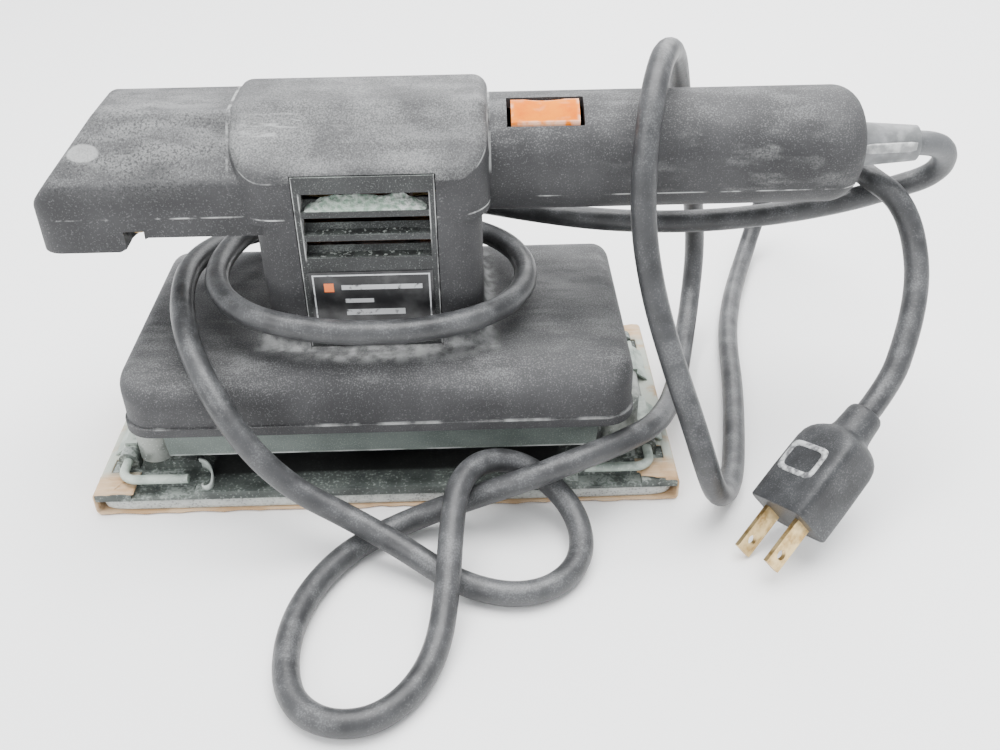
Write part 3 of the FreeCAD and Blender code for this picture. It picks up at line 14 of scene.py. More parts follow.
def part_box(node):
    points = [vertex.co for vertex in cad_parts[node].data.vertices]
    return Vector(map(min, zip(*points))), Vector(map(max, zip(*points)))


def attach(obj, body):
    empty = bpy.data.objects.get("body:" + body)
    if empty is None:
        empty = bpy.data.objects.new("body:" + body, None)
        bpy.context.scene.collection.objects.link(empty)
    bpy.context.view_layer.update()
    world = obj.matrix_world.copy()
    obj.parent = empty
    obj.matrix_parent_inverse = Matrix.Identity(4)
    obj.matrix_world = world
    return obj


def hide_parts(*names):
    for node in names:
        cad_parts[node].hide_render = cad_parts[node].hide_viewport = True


MM = 0.001
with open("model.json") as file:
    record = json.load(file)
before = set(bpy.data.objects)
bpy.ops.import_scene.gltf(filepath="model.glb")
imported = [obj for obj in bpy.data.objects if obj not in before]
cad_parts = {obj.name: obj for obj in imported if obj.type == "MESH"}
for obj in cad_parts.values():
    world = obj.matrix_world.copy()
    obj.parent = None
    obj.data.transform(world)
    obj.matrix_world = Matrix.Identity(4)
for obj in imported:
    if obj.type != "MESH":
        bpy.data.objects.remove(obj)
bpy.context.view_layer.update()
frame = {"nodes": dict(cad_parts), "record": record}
nodes = frame["nodes"]

# ---------------------------------------------------------------- camera, stage and light
CAMERA_PLACE = Vector((32.7, -297.2, 226.6)) * MM
CAMERA_YAW, CAMERA_PITCH, CAMERA_ROLL = math.radians(1.1), math.radians(35.0), math.radians(-0.87)
CAMERA_LENS, SENSOR = 37.15, 36.0
CLIP_START, CLIP_END = 0.01, 50
FLOOR_HALF = 6.0
FLOOR_DROP = 0.4 * MM
FLOOR_COLOUR = (0.94, 0.94, 0.935, 1)
SKY_COLOUR, SKY_STRENGTH = (0.95, 0.97, 1.0, 1), 1.25
# name, place, aim, width in metres and watts of each soft lamp
LAMPS = (
    ("overhead", (0.1, 0.15, 1.3), (0.03, 0, 0.05), 1.2, 46),
    ("front_left", (-0.9, -0.9, 0.9), (0, 0, 0.05), 0.8, 11),
    ("behind", (0.5, 1.2, 0.8), (0, 0, 0.08), 0.9, 13),
)


def make_camera():
    """The camera at the viewing angle, looking down at the tool's near side."""
    yaw, pitch, roll = CAMERA_YAW, CAMERA_PITCH, CAMERA_ROLL
    ahead = Vector((math.sin(yaw) * math.cos(pitch), math.cos(yaw) * math.cos(pitch),
                    -math.sin(pitch)))
    level = Vector((math.cos(yaw), -math.sin(yaw), 0))
    above = level.cross(ahead)
    right = math.cos(roll) * level + math.sin(roll) * above
    up = math.cos(roll) * above - math.sin(roll) * level
    data = bpy.data.cameras.new("camera")
    data.lens = CAMERA_LENS
    data.sensor_width = SENSOR
    data.clip_start, data.clip_end = CLIP_START, CLIP_END
    camera = bpy.data.objects.new("camera", data)
    bpy.context.scene.collection.objects.link(camera)
    turn = Matrix((right, up, -ahead)).transposed()
    camera.matrix_world = Matrix.Translation(CAMERA_PLACE) @ turn.to_4x4()
    bpy.context.scene.camera = camera


def make_light(name, place, aim, width, watts):
    """A soft square lamp at a place, turned to its aim."""
    data = bpy.data.lights.new(name, "AREA")
    data.size = width
    data.energy = watts
    lamp = bpy.data.objects.new(name, data)
    bpy.context.scene.collection.objects.link(lamp)
    lamp.location = Vector(place)
    lamp.rotation_euler = (Vector(aim) - Vector(place)).to_track_quat("-Z", "Y").to_euler()


def make_stage():
    """A plain pale floor just under the tool, an even pale sky and three soft lamps."""
    half = FLOOR_HALF
    mesh = bpy.data.meshes.new("floor")
    mesh.from_pydata([(-half, -half, 0), (half, -half, 0), (half, half, 0), (-half, half, 0)],
                     [], [(0, 1, 2, 3)])
    floor = bpy.data.objects.new("floor", mesh)
    bpy.context.scene.collection.objects.link(floor)
    floor.location.z = -FLOOR_DROP
    white = bpy.data.materials.new("pale_floor")
    white.use_nodes = True
    shader = white.node_tree.nodes["Principled BSDF"]
    shader.inputs["Base Color"].default_value = FLOOR_COLOUR
    shader.inputs["Roughness"].default_value = 0.6
    mesh.materials.append(white)
    world = bpy.data.worlds.new("studio")
    bpy.context.scene.world = world
    world.use_nodes = True
    sky = world.node_tree.nodes["Background"]
    sky.inputs["Color"].default_value = SKY_COLOUR
    sky.inputs["Strength"].default_value = SKY_STRENGTH
    for lamp in LAMPS:
        make_light(*lamp)


make_camera()
make_stage()


# ---------------------------------------------------------------- material building
class Surface:
    """A procedural material: a shader, with fields of the object's own coordinates."""

    def __init__(self, name, roughness, metallic=0.0):
        self.material = bpy.data.materials.new(name)
        self.material.use_nodes = True
        self.tree = self.material.node_tree
        self.shader = self.tree.nodes["Principled BSDF"]
        self.shader.inputs["Roughness"].default_value = roughness
        self.shader.inputs["Metallic"].default_value = metallic
        place = self.tree.nodes.new("ShaderNodeTexCoord")
        self.place = place.outputs["Object"]
        apart = self.tree.nodes.new("ShaderNodeSeparateXYZ")
        self.tree.links.new(self.place, apart.inputs[0])
        self.x, self.y, self.z = apart.outputs
        normal = self.tree.nodes.new("ShaderNodeSeparateXYZ")
        self.tree.links.new(place.outputs["Normal"], normal.inputs[0])
        self.facing_up = normal.outputs[2]

    def feed(self, value, socket):
        """Set a socket to a number or colour, or link another node's output to it."""
        if isinstance(value, bpy.types.NodeSocket):
            self.tree.links.new(value, socket)
        else:
            socket.default_value = value

    def calc(self, operation, *values, clamp=False):
        """One step of arithmetic on numbers or other nodes' outputs."""
        step = self.tree.nodes.new("ShaderNodeMath")
        step.operation = operation
        step.use_clamp = clamp
        for value, socket in zip(values, step.inputs):
            self.feed(value, socket)
        return step.outputs[0]

    def times(self, *values):
        """The product of all the values."""
        product = values[0]
        for value in values[1:]:
            product = self.calc("MULTIPLY", product, value)
        return product

    def noise(self, scale, detail=4.0, stretch=(1, 1, 1), shift=0.0):
        """Cloudy noise, features about 1 / scale metres; stretch scales each axis."""
        place = self.place
        if stretch != (1, 1, 1) or shift:
            mapping = self.tree.nodes.new("ShaderNodeMapping")
            mapping.inputs["Scale"].default_value = stretch
            mapping.inputs["Location"].default_value = (shift, shift * 1.7, shift * 2.3)
            self.tree.links.new(place, mapping.inputs["Vector"])
            place = mapping.outputs[0]
        field = self.tree.nodes.new("ShaderNodeTexNoise")
        field.inputs["Scale"].default_value = scale
        field.inputs["Detail"].default_value = detail
        self.tree.links.new(place, field.inputs["Vector"])
        return field.outputs[0]

    def cells(self, scale):
        """Distance to the nearest of a cloud of points."""
        field = self.tree.nodes.new("ShaderNodeTexVoronoi")
        field.inputs["Scale"].default_value = scale
        self.tree.links.new(self.place, field.inputs["Vector"])
        return field.outputs["Distance"]

    def ramp(self, value, low, high):
        """0 up to low, 1 from high, smooth between; falling if low is above high."""
        step = self.tree.nodes.new("ShaderNodeMapRange")
        step.interpolation_type = "SMOOTHSTEP"
        falling = low > high
        self.feed(value, step.inputs["Value"])
        step.inputs["From Min"].default_value = min(low, high)
        step.inputs["From Max"].default_value = max(low, high)
        step.inputs["To Min"].default_value = 1.0 if falling else 0.0
        step.inputs["To Max"].default_value = 0.0 if falling else 1.0
        return step.outputs[0]

    def near(self, value, middle, half, soft):
        """1 within half of the middle, fading to 0 over soft."""
        distance = self.calc("ABSOLUTE", self.calc("SUBTRACT", value, middle))
        return self.ramp(distance, half + soft, half)

    def blob(self, centre, radii, soft=0.25):
        """1 inside an ellipsoid, fading to 0 over a share of its radius."""
        shift = self.tree.nodes.new("ShaderNodeVectorMath")
        shift.operation = "SUBTRACT"
        self.tree.links.new(self.place, shift.inputs[0])
        shift.inputs[1].default_value = Vector(centre) * MM
        scale = self.tree.nodes.new("ShaderNodeVectorMath")
        scale.operation = "DIVIDE"
        self.tree.links.new(shift.outputs[0], scale.inputs[0])
        scale.inputs[1].default_value = Vector(radii) * MM
        length = self.tree.nodes.new("ShaderNodeVectorMath")
        length.operation = "LENGTH"
        self.tree.links.new(scale.outputs[0], length.inputs[0])
        return self.ramp(length.outputs["Value"], 1 + soft, 1 - soft)

    def mix(self, share, below, above):
        """The colour below at share 0 and the colour above at share 1."""
        step = self.tree.nodes.new("ShaderNodeMix")
        step.data_type = "RGBA"
        self.feed(share, step.inputs["Factor"])
        for value, socket in ((below, step.inputs[6]), (above, step.inputs[7])):
            self.feed(value if isinstance(value, bpy.types.NodeSocket) else (*value, 1), socket)
        return step.outputs[2]

    def colour(self, value):
        """Set or link the base colour."""
        self.feed(value, self.shader.inputs["Base Color"])

    def roughness(self, value):
        """Set or link the roughness."""
        self.feed(value, self.shader.inputs["Roughness"])

    def bump(self, *layers):
        """Stack height fields, each with how deep it is in metres."""
        below = None
        for height, depth in layers:
            step = self.tree.nodes.new("ShaderNodeBump")
            step.inputs["Distance"].default_value = depth
            self.tree.links.new(height, step.inputs["Height"])
            if below is not None:
                self.tree.links.new(below, step.inputs["Normal"])
            below = step.outputs[0]
        self.tree.links.new(below, self.shader.inputs["Normal"])


def granular(s, density, scale=2300, shift=0.1):
    """Powder seen as fine grains: none at density 0, nearly covering at density 1."""
    grains = s.noise(scale, 5, shift=shift)
    return s.ramp(s.calc("ADD", grains, s.times(density, 0.26)), 0.56, 0.80)


def dusty(name, dark, light, dust, top_dust, side_dust, seams):
    """Moulded plastic under fine powder, thick on what faces up and thin on the sides.

    seams are functions that each give a mask of caked dust.
    """
    roughness = 0.6
    s = Surface(name, roughness)
    s.shader.inputs["Specular IOR Level"].default_value = 0.35
    tone = s.mix(s.ramp(s.noise(55, 6), 0.32, 0.70), dark, light)
    patches = s.ramp(s.noise(38, 8, shift=0.3), 0.32, 0.70)
    streaks = s.ramp(s.noise(60, 8, stretch=(1, 3, 3), shift=0.6), 0.36, 0.70)
    level = s.ramp(s.facing_up, 0.15, 0.98)
    cover = s.calc("ADD", s.times(level, top_dust - side_dust), side_dust)
    cloud = s.calc("ADD", s.times(patches, streaks, 0.75), 0.30)
    density = s.times(cover, cloud)
    shade = s.mix(s.times(density, 0.34), tone, dust)
    shade = s.mix(s.times(granular(s, density), 0.36), shade, tuple(1.25 * c for c in dust))
    bright = s.times(s.ramp(s.noise(1500, 3, shift=0.7), 0.70, 0.78),
                     s.ramp(s.noise(70, 6, shift=0.8), 0.42, 0.66), 0.45)
    shade = s.mix(bright, shade, (0.36, 0.365, 0.365))
    for maker in seams:
        shade = s.mix(maker(s), shade, (0.55, 0.56, 0.55))
    s.colour(shade)
    s.roughness(s.calc("ADD", s.times(density, 0.2), roughness, clamp=True))
    s.bump((s.noise(2600, 3), 0.00006), (s.noise(420, 4, shift=0.5), 0.00005))
    return s.material


# heights of the housing's lines and ledges, and the panel's half width, in metres
PARTING, LEDGE, SKIRT_BOTTOM, SKIRT_FLANGE = 0.094, 0.0331, 0.0186, 0.0285
PANEL_HALF, SLOT_HALF = 0.0201, 0.0185
# the palm rest's rounded outline: its middle, where its corners start, and their radius
REST_MIDDLE, REST_CORNER_X, REST_CORNER_Z, REST_RADIUS = -0.0012, 0.0268, 0.1152, 0.0100
REST_FRONT, REST_REAR = -0.0386, 0.0361


def parting_line(s):
    """Chalky dust caught in the line between the two shells, broken along its length."""
    line = s.near(s.z, PARTING, 0.00014, 0.00016)
    broken = s.ramp(s.noise(130, 7, shift=0.4), 0.42, 0.58)
    return s.times(line, broken, 0.7)


def lip_line(s):
    """Dust on the ledge round the bottom of the base."""
    ledge = s.near(s.z, LEDGE, 0.00022, 0.00025)
    broken = s.ramp(s.noise(95, 9, stretch=(1, 0.3, 0.3)), 0.47, 0.66)
    return s.times(ledge, broken, 0.48)


def column_foot(s):
    """Dust packed where the motor column stands on the base, thickest in front."""
    height = s.ramp(s.z, 0.0552, 0.0508)
    along = s.ramp(s.calc("ABSOLUTE", s.x), 0.0395, 0.0350)
    across = s.ramp(s.calc("ABSOLUTE", s.y), 0.0340, 0.0295)
    front = s.blob((2, -32, 50.5), (26, 4.2, 3), 0.5)
    packed = s.calc("MAXIMUM", s.times(height, along, across, 0.75), front)
    clumps = s.calc("ADD", s.times(s.ramp(s.noise(240, 10, shift=0.2), 0.34, 0.66), 0.8), 0.15)
    return s.times(packed, clumps, 0.62)


def rest_crease(s):
    """Fine dust in the crease on each side of the palm rest."""
    above = s.ramp(s.z, 0.100, 0.106)
    front = s.near(s.x, REST_FRONT, 0.00022, 0.0003)
    rear = s.near(s.x, REST_REAR, 0.00022, 0.0003)
    broken = s.ramp(s.noise(210, 7, shift=0.35), 0.40, 0.60)
    return s.times(s.calc("MAXIMUM", front, rear), above, broken, 0.5)


def scratched_rest(s):
    """Pale scuffs on the near side of the palm rest, drawn out along the tool."""
    zone = s.blob((-24, -17, 117), (14, 5, 4), 0.7)
    strokes = s.ramp(s.noise(48, 4, stretch=(2.2, 14, 22), shift=0.9), 0.56, 0.66)
    return s.times(zone, strokes, 0.34)


def rest_outline(s):
    """Distance from the middle of the palm rest's rounded corners, 10 mm at its outline."""
    reach = s.calc("ABSOLUTE", s.calc("ADD", s.x, -REST_MIDDLE))
    beside = s.calc("MAXIMUM", s.calc("SUBTRACT", reach, REST_CORNER_X), 0.0)
    below = s.calc("MAXIMUM", s.calc("SUBTRACT", REST_CORNER_Z, s.z), 0.0)
    return s.calc("SQRT", s.calc("ADD", s.times(beside, beside), s.times(below, below)))


def powdered_rest(s):
    """The whole palm rest carries more powder than the column under it."""
    inside = s.ramp(rest_outline(s), 0.0101, 0.0096)
    clouds = s.calc("ADD", s.ramp(s.noise(70, 8, shift=0.15), 0.34, 0.68), 0.35)
    return s.times(inside, s.calc("ADD", granular(s, 0.62, 2000, 0.55), 0.35), clouds, 0.15)


def rest_edge(s):
    """A thin chalky line round the palm rest's outline, clearest at its corners."""
    line = s.near(rest_outline(s), REST_RADIUS, 0.00012, 0.00018)
    broken = s.ramp(s.noise(90, 7, shift=0.65), 0.46, 0.66)
    return s.times(line, broken, 0.5)


def skirt_edge(s):
    """A chalky line along the skirt's bottom edge, and specks under its flange."""
    edge = s.near(s.z, SKIRT_BOTTOM, 0.00018, 0.0002)
    specks = s.times(s.near(s.z, SKIRT_FLANGE, 0.0009, 0.001), granular(s, 0.15, 900, 0.4))
    broken = s.ramp(s.noise(90, 7), 0.36, 0.6)
    return s.times(s.calc("MAXIMUM", edge, specks), broken, 0.55)


def panel_edge(s):
    """Dust along the panel's upright edges and the ends of its slots."""
    reach = s.calc("ABSOLUTE", s.x)
    outer = s.near(reach, PANEL_HALF, 0.00012, 0.0001)
    inner = s.times(s.near(reach, SLOT_HALF, 0.00016, 0.00012), s.ramp(s.z, 0.080, 0.0815),
                    s.ramp(s.z, 0.1025, 0.101))
    broken = s.ramp(s.noise(150, 7, shift=0.2), 0.34, 0.55)
    return s.times(s.calc("MAXIMUM", outer, inner), broken, 0.6)


def worn_patch(s):
    """A pale oval wear mark on the knob's near slope."""
    return s.times(s.blob((-79.5, -18.4, 111.8), (4.6, 2.6, 2.7), 0.10), 0.42)


def handle_scuffs(s):
    """Dusty wipes low on the handle's near side."""
    zone = s.blob((112, -14, 103), (34, 8, 11), 0.7)
    wipes = s.ramp(s.noise(75, 9, stretch=(1, 2, 2.6), shift=0.15), 0.50, 0.70)
    return s.times(zone, wipes, s.calc("ADD", granular(s, 0.8, 1700, 0.25), 0.25), 0.16)


def knob_dust(s):
    """Thick powder over the knob's shoulder and nose."""
    zone = s.blob((-66, -10, 113), (34, 20, 10), 0.7)
    strokes = s.calc("ADD", s.ramp(s.noise(55, 8, stretch=(1, 3, 3), shift=0.2), 0.38, 0.66), 0.3)
    return s.times(zone, granular(s, 0.85, 1600, 0.7), strokes, 0.22)


def drifted_base(s):
    """Powder drifted over the base's top on both sides of the column."""
    front = s.blob((-62, -6, 51), (24, 34, 6), 0.7)
    rear = s.blob((55, -8, 51), (20, 30, 6), 0.8)
    zone = s.calc("MAXIMUM", front, s.times(rear, 0.5))
    swirls = s.ramp(s.noise(45, 7, stretch=(1, 1.6, 1), shift=0.45), 0.40, 0.68)
    return s.times(zone, swirls, s.calc("ADD", granular(s, 0.6, 1900, 0.6), 0.3), 0.14)


# ---------------------------------------------------------------- the lead
CORD_DIAMETER = 7.5 * MM
# The route's points in millimetres, the same as the CAD lead's.
CORD_ROUTE = [
    # out of the boot and folded back under it
    (167.0, 0.0, 101.5), (173.0, 0.0, 101.5), (178.3, 2.0, 97.7), (179.8, 5.0, 91.7),
    (176.8, 8.0, 86.2), (168.0, 10.0, 82.2), (154.0, 12.0, 76.6), (132.0, 13.0, 72.0),
    # under the rear handle, behind the column and once round it
    (104.0, 12.5, 70.0), (76.0, 15.0, 70.0), (52.0, 25.0, 69.0), (29.0, 39.5, 67.0),
    (1.0, 44.5, 66.0), (-27.0, 42.0, 65.0), (-47.0, 27.0, 64.5), (-53.5, 4.0, 64.0),
    (-49.5, -19.0, 65.0), (-33.5, -36.0, 65.0), (-7.0, -39.5, 62.0), (20.0, -37.5, 62.0),
    (41.5, -24.0, 61.0), (49.0, -3.0, 61.0), (42.5, 20.5, 60.5), (24.0, 38.5, 58.5),
    (-2.0, 45.5, 57.0), (-29.0, 44.5, 57.0),
    # down over the front of the dome to the floor
    (-51.5, 33.5, 59.0), (-63.5, 12.0, 61.5), (-62.5, -12.0, 62.0), (-57.0, -33.0, 58.5),
    (-48.0, -50.0, 50.5), (-37.0, -60.0, 36.5), (-25.0, -62.5, 22.5), (-9.0, -66.0, 14.0),
    (7.0, -74.0, 8.8), (23.0, -84.5, 4.2), (38.0, -90.2, 3.8), (49.8, -88.4, 3.8),
    # round the small loop, up against the skirt and over
    (58.5, -80.5, 3.8), (61.8, -69.2, 4.8), (59.2, -58.2, 8.2), (51.4, -50.6, 13.8),
    (42.0, -47.8, 19.0), (31.6, -50.8, 22.2), (24.4, -59.6, 21.8), (22.2, -73.5, 18.4),
    # back down to the large loop on the floor
    (21.0, -92.0, 10.6), (18.6, -108.5, 4.6), (13.0, -121.5, 3.8), (4.5, -130.2, 3.8),
    (-4.8, -132.6, 3.8), (-13.9, -130.0, 3.8), (-20.5, -123.0, 3.8), (-23.4, -110.5, 3.8),
    (-22.5, -95.5, 3.8), (-17.0, -80.5, 3.8), (-7.0, -67.5, 3.8),
    # along the platen's near side, past its corner and up behind the handle
    (8.0, -59.0, 5.2), (26.0, -57.5, 12.0), (44.0, -58.0, 19.4), (60.5, -54.0, 23.8),
    (75.0, -46.5, 24.0), (86.5, -37.5, 23.2), (94.0, -22.0, 19.0), (100.0, -3.0, 12.0),
    (105.5, 17.0, 7.0), (111.0, 38.0, 7.4), (116.0, 56.5, 16.0), (118.0, 66.0, 33.0),
    (115.0, 65.0, 54.0), (108.5, 54.0, 76.0), (101.5, 37.5, 100.0), (94.5, 19.5, 125.0),
    # arched over the handle and down its near side to a turn on the floor
    (88.0, 2.0, 131.5), (82.5, -15.5, 126.5), (79.5, -26.0, 110.5), (79.5, -30.5, 91.0),
    (83.0, -38.0, 71.5), (88.5, -48.5, 54.5), (94.0, -58.2, 40.0), (98.0, -63.0, 28.0),
    (102.5, -61.5, 15.5), (108.0, -53.0, 6.6), (113.5, -41.0, 3.8), (118.5, -20.0, 3.8),
    (124.5, 10.0, 3.8),
    # away over the floor behind, then up and over the first strand to the plug
    (129.0, 43.0, 3.8), (136.5, 71.0, 3.8), (144.0, 92.0, 3.8), (150.0, 107.5, 4.0),
    (155.5, 119.0, 11.4), (160.5, 125.5, 24.0), (164.5, 124.0, 38.5), (166.5, 115.5, 50.5),
    (167.5, 96.0, 60.0), (165.5, 73.0, 69.0), (161.5, 50.0, 77.5), (158.5, 30.0, 84.5),
    (155.8, 16.0, 87.4), (157.6, 4.4, 88.0), (163.4, -2.2, 85.4), (167.6, -6.8, 79.0),
    (169.3, -12.2, 71.8), (169.1, -18.9, 64.8), (166.8, -26.2, 57.5), (163.2, -33.4, 50.0),
    (158.2, -41.2, 41.2), (149.8, -48.1, 34.5),
]


def make_cord():
    """The free lead, one smooth spline from the boot's tip to the plug's neck."""
    data = bpy.data.curves.new("power_lead", "CURVE")
    data.dimensions = "3D"
    spline = data.splines.new("NURBS")
    spline.points.add(len(CORD_ROUTE) - 1)
    for point, (x, y, z) in zip(spline.points, CORD_ROUTE):
        point.co = (x * MM, y * MM, z * MM, 1)
    spline.order_u = 3
    spline.use_endpoint_u = True
    spline.resolution_u = 10
    data.bevel_depth = CORD_DIAMETER / 2
    data.bevel_resolution = 6
    data.use_fill_caps = True
    lead = bpy.data.objects.new("power_lead", data)
    bpy.context.scene.collection.objects.link(lead)
    data.materials.append(cord_rubber())
    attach(lead, "housing")
    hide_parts("power_cord")
    return lead


def cord_rubber():
    """Dark grey jacket, softly shiny, with fine powder and a paler end in the boot."""
    s = Surface("cord_rubber", 0.42)
    s.shader.inputs["Specular IOR Level"].default_value = 0.5
    tone = s.mix(s.ramp(s.noise(70, 6), 0.32, 0.68), (0.022, 0.0225, 0.024), (0.042, 0.043, 0.045))
    boot_end = s.blob((171, 2, 99), (10, 9, 9), 0.5)
    tone = s.mix(s.times(boot_end, 0.75), tone, (0.135, 0.14, 0.145))
    level = s.ramp(s.facing_up, -0.2, 1.0)
    patches = s.ramp(s.noise(130, 8, shift=0.5), 0.36, 0.68)
    density = s.times(s.calc("ADD", s.times(level, 0.6), 0.2), patches)
    shade = s.mix(s.times(density, 0.26), tone, (0.17, 0.175, 0.18))
    shade = s.mix(s.times(granular(s, density, 2000, 0.2), 0.22), shade, (0.25, 0.255, 0.26))
    s.colour(shade)
    s.roughness(s.calc("ADD", s.times(s.noise(220, 5), 0.25), 0.30))
    s.bump((s.noise(1100, 4), 0.00009), (s.noise(160, 4, shift=0.4), 0.00016))
    return s.material


# ---------------------------------------------------------------- mesh helpers
def add_object(name, mesh, material, body):
    """An object of its own material that rides on a body."""
    piece = bpy.data.objects.new(name, mesh)
    bpy.context.scene.collection.objects.link(piece)
    mesh.materials.append(material)
    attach(piece, body)
    return piece


def smooth(mesh, angle):
    """Shade the faces smooth, except across edges sharper than the angle in degrees."""
    for face in mesh.polygons:
        face.use_smooth = True
    mesh.set_sharp_from_angle(angle=math.radians(angle))


def grid_mesh(name, columns, rows, place, keep=lambda column, row: True):
    """A mesh of columns x rows points; place(column, row) gives each in metres."""
    mesh = bpy.data.meshes.new(name)
    points = [place(i, j) for j in range(rows) for i in range(columns)]
    faces = []
    for j in range(rows - 1):
        for i in range(columns - 1):
            if keep(i, j):
                corner = j * columns + i
                faces.append((corner, corner + 1, corner + columns + 1, corner + columns))
    mesh.from_pydata(points, [], faces)
    return mesh


def loft(name, rings, closed_ends=True):
    """A skin over rings of points that all have the same count."""
    mesh = bpy.data.meshes.new(name)
    count = len(rings[0])
    points = [point for ring in rings for point in ring]
    faces = []
    for level in range(len(rings) - 1):
        for i in range(count):
            j = (i + 1) % count
            faces.append((level * count + i, level * count + j,
                          (level + 1) * count + j, (level + 1) * count + i))
    if closed_ends:
        faces.append(tuple(reversed(range(count))))
        faces.append(tuple((len(rings) - 1) * count + i for i in range(count)))
    mesh.from_pydata(points, [], faces)
    mesh.update()
    return mesh


def oval(half_width, half_height, power, count=48):
    """A rounded rectangle as a superellipse: power 2 is an ellipse, more is squarer."""
    ring = []
    for i in range(count):
        angle = 2 * math.pi * i / count
        c, s = math.cos(angle), math.sin(angle)
        ring.append((math.copysign(abs(c) ** (2 / power), c) * half_width,
                     math.copysign(abs(s) ** (2 / power), s) * half_height))
    return ring


# ---------------------------------------------------------------- plug
PLUG_ROLL = math.radians(22)
PLUG_HALF_WIDTH, PLUG_HALF_HEIGHT = 11.0, 8.5
PLUG_END = 41.5
SQUARE_ALONG, SQUARE_ACROSS = 25.2, -1.1
SQUARE_HALF_ALONG, SQUARE_HALF_ACROSS = 5.3, 7.0


def plug_turn():
    """Where the plug is: its +X runs from the lead's end to the blades, +Z to its upper face."""
    end = Vector(CORD_ROUTE[-1])
    heading = (end - Vector(CORD_ROUTE[-2])).normalized()
    angle = math.atan2(heading.y, heading.x)
    tilt = math.asin(-heading.z)
    turn = Matrix.Rotation(angle, 4, "Z") @ Matrix.Rotation(tilt, 4, "Y")
    return Matrix.Translation(end * MM) @ turn @ Matrix.Rotation(PLUG_ROLL, 4, "X")


def plug_vinyl():
    """Dark grey moulded vinyl with a light chalky film."""
    s = Surface("plug_vinyl", 0.5)
    tone = s.mix(s.ramp(s.noise(90, 6), 0.32, 0.66), (0.010, 0.0105, 0.012), (0.024, 0.025, 0.027))
    density = s.times(s.ramp(s.noise(110, 7, shift=0.3), 0.34, 0.70), 0.4)
    shade = s.mix(s.times(density, 0.25), tone, (0.20, 0.21, 0.215))
    shade = s.mix(s.times(granular(s, density, 2100, 0.2), 0.25), shade, (0.27, 0.275, 0.28))
    s.colour(shade)
    s.bump((s.noise(1800, 3), 0.00008),)
    return s.material


def worn_outline():
    """The chalky worn edge of the raised square on the plug."""
    s = Surface("worn_outline", 0.7)
    s.colour(s.mix(s.ramp(s.noise(500, 6), 0.36, 0.62), (0.10, 0.10, 0.105), (0.46, 0.47, 0.47)))
    s.bump((s.noise(1500, 3), 0.0001),)
    return s.material


def make_plug():
    """Moulded plug body: plain round neck, rounded shoulders and a body with a square end."""
    stations = [
        # along, half width, half height, squareness
        (0.2, 4.3, 4.3, 2.0), (0.5, 4.9, 4.9, 2.0), (1.2, 5.35, 5.35, 2.0), (2.4, 5.6, 5.6, 2.0),
        (5.0, 5.75, 5.75, 2.0), (8.4, 5.95, 5.95, 2.1), (9.6, 6.3, 6.15, 2.2),
        (10.3, 7.0, 6.5, 2.5), (11.0, 8.2, 7.1, 3.0), (12.0, 9.3, 7.7, 3.6),
        (13.4, 10.2, 8.15, 4.4), (15.2, 10.75, 8.4, 5.4), (18.0, 10.95, 8.5, 6.5),
        (30.0, PLUG_HALF_WIDTH, PLUG_HALF_HEIGHT, 7.5),
        (PLUG_END - 0.6, PLUG_HALF_WIDTH, PLUG_HALF_HEIGHT, 7.5),
        (PLUG_END - 0.2, 10.85, 8.38, 7.5), (PLUG_END, 10.5, 8.1, 7.5),
        (PLUG_END - 0.05, 10.1, 7.7, 7.0),
    ]
    rings = [[Vector((along, y, z)) * MM for y, z in oval(wide, high, power)]
             for along, wide, high, power in stations]
    mesh = loft("plug_shell", rings)
    mesh.transform(plug_turn())
    smooth(mesh, 50)
    shell = add_object("plug_shell", mesh, plug_vinyl(), "housing")
    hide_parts("plug_body")
    # the raised rim of a rounded square on the upper face
    top = PLUG_HALF_HEIGHT
    rim = []
    for inset, height in ((-0.4, -0.6), (-0.3, 0.1), (0.0, 0.42), (1.0, 0.42), (1.35, 0.18),
                          (1.45, 0.05)):
        rim.append([Vector((SQUARE_ALONG + a, SQUARE_ACROSS + b, top + height)) * MM
                    for a, b in oval(SQUARE_HALF_ALONG - inset, SQUARE_HALF_ACROSS - inset,
                                     6.0, 48)])
    rim_mesh = loft("plug_rim", rim, closed_ends=False)
    rim_mesh.transform(plug_turn())
    smooth(rim_mesh, 60)
    rim_object = add_object("plug_rim", rim_mesh, worn_outline(), "housing")
    return shell, rim_object


# ---------------------------------------------------------------- paper and foam
# in millimetres: how far the orbit sets the platen's pieces off, the paper as CAD has it,
# and the ears of the clamps, round which it is cut away
ORBIT = 0.8
PAPER = 0.6
PAPER_END = 94.1
PAPER_HALF_WIDTH = 47.0
PAPER_FOLD, PAPER_BEND = 13.0, 1.3
PAPER_SEEN_THICK, WEB_THICK = 0.45, 0.65
FOLD_TOP = 8.35
TORN_FROM = 41.5
EAR_Y, EAR_GAP, EAR_X = 31.5, 3.4, 5.2
CLAMP_X = 85.0


def paper_path():
    """The paper's middle line in x and z, from one folded edge round to the other."""
    low, high = PAPER / 2, FOLD_TOP
    end = PAPER_END - PAPER / 2
    bend = PAPER_BEND
    right = [(end - PAPER_FOLD + i * (PAPER_FOLD - bend) / 12, high) for i in range(13)]
    right += [(end - bend + bend * math.sin(a), high - bend + bend * math.cos(a))
              for a in (math.radians(t) for t in (22, 45, 68, 90))]
    right += [(end, high - bend - (high - low - 2 * bend) * t / 3) for t in (1, 2, 3)]
    right += [(end - bend + bend * math.cos(a), low + bend - bend * math.sin(a))
              for a in (math.radians(t) for t in (22, 45, 68, 90))]
    flat = [(end - bend - (end - bend) * t / 40, low) for t in range(1, 41)]
    half = right + flat
    other = [(-x, z) for x, z in reversed(half[:-1])]
    return half + other


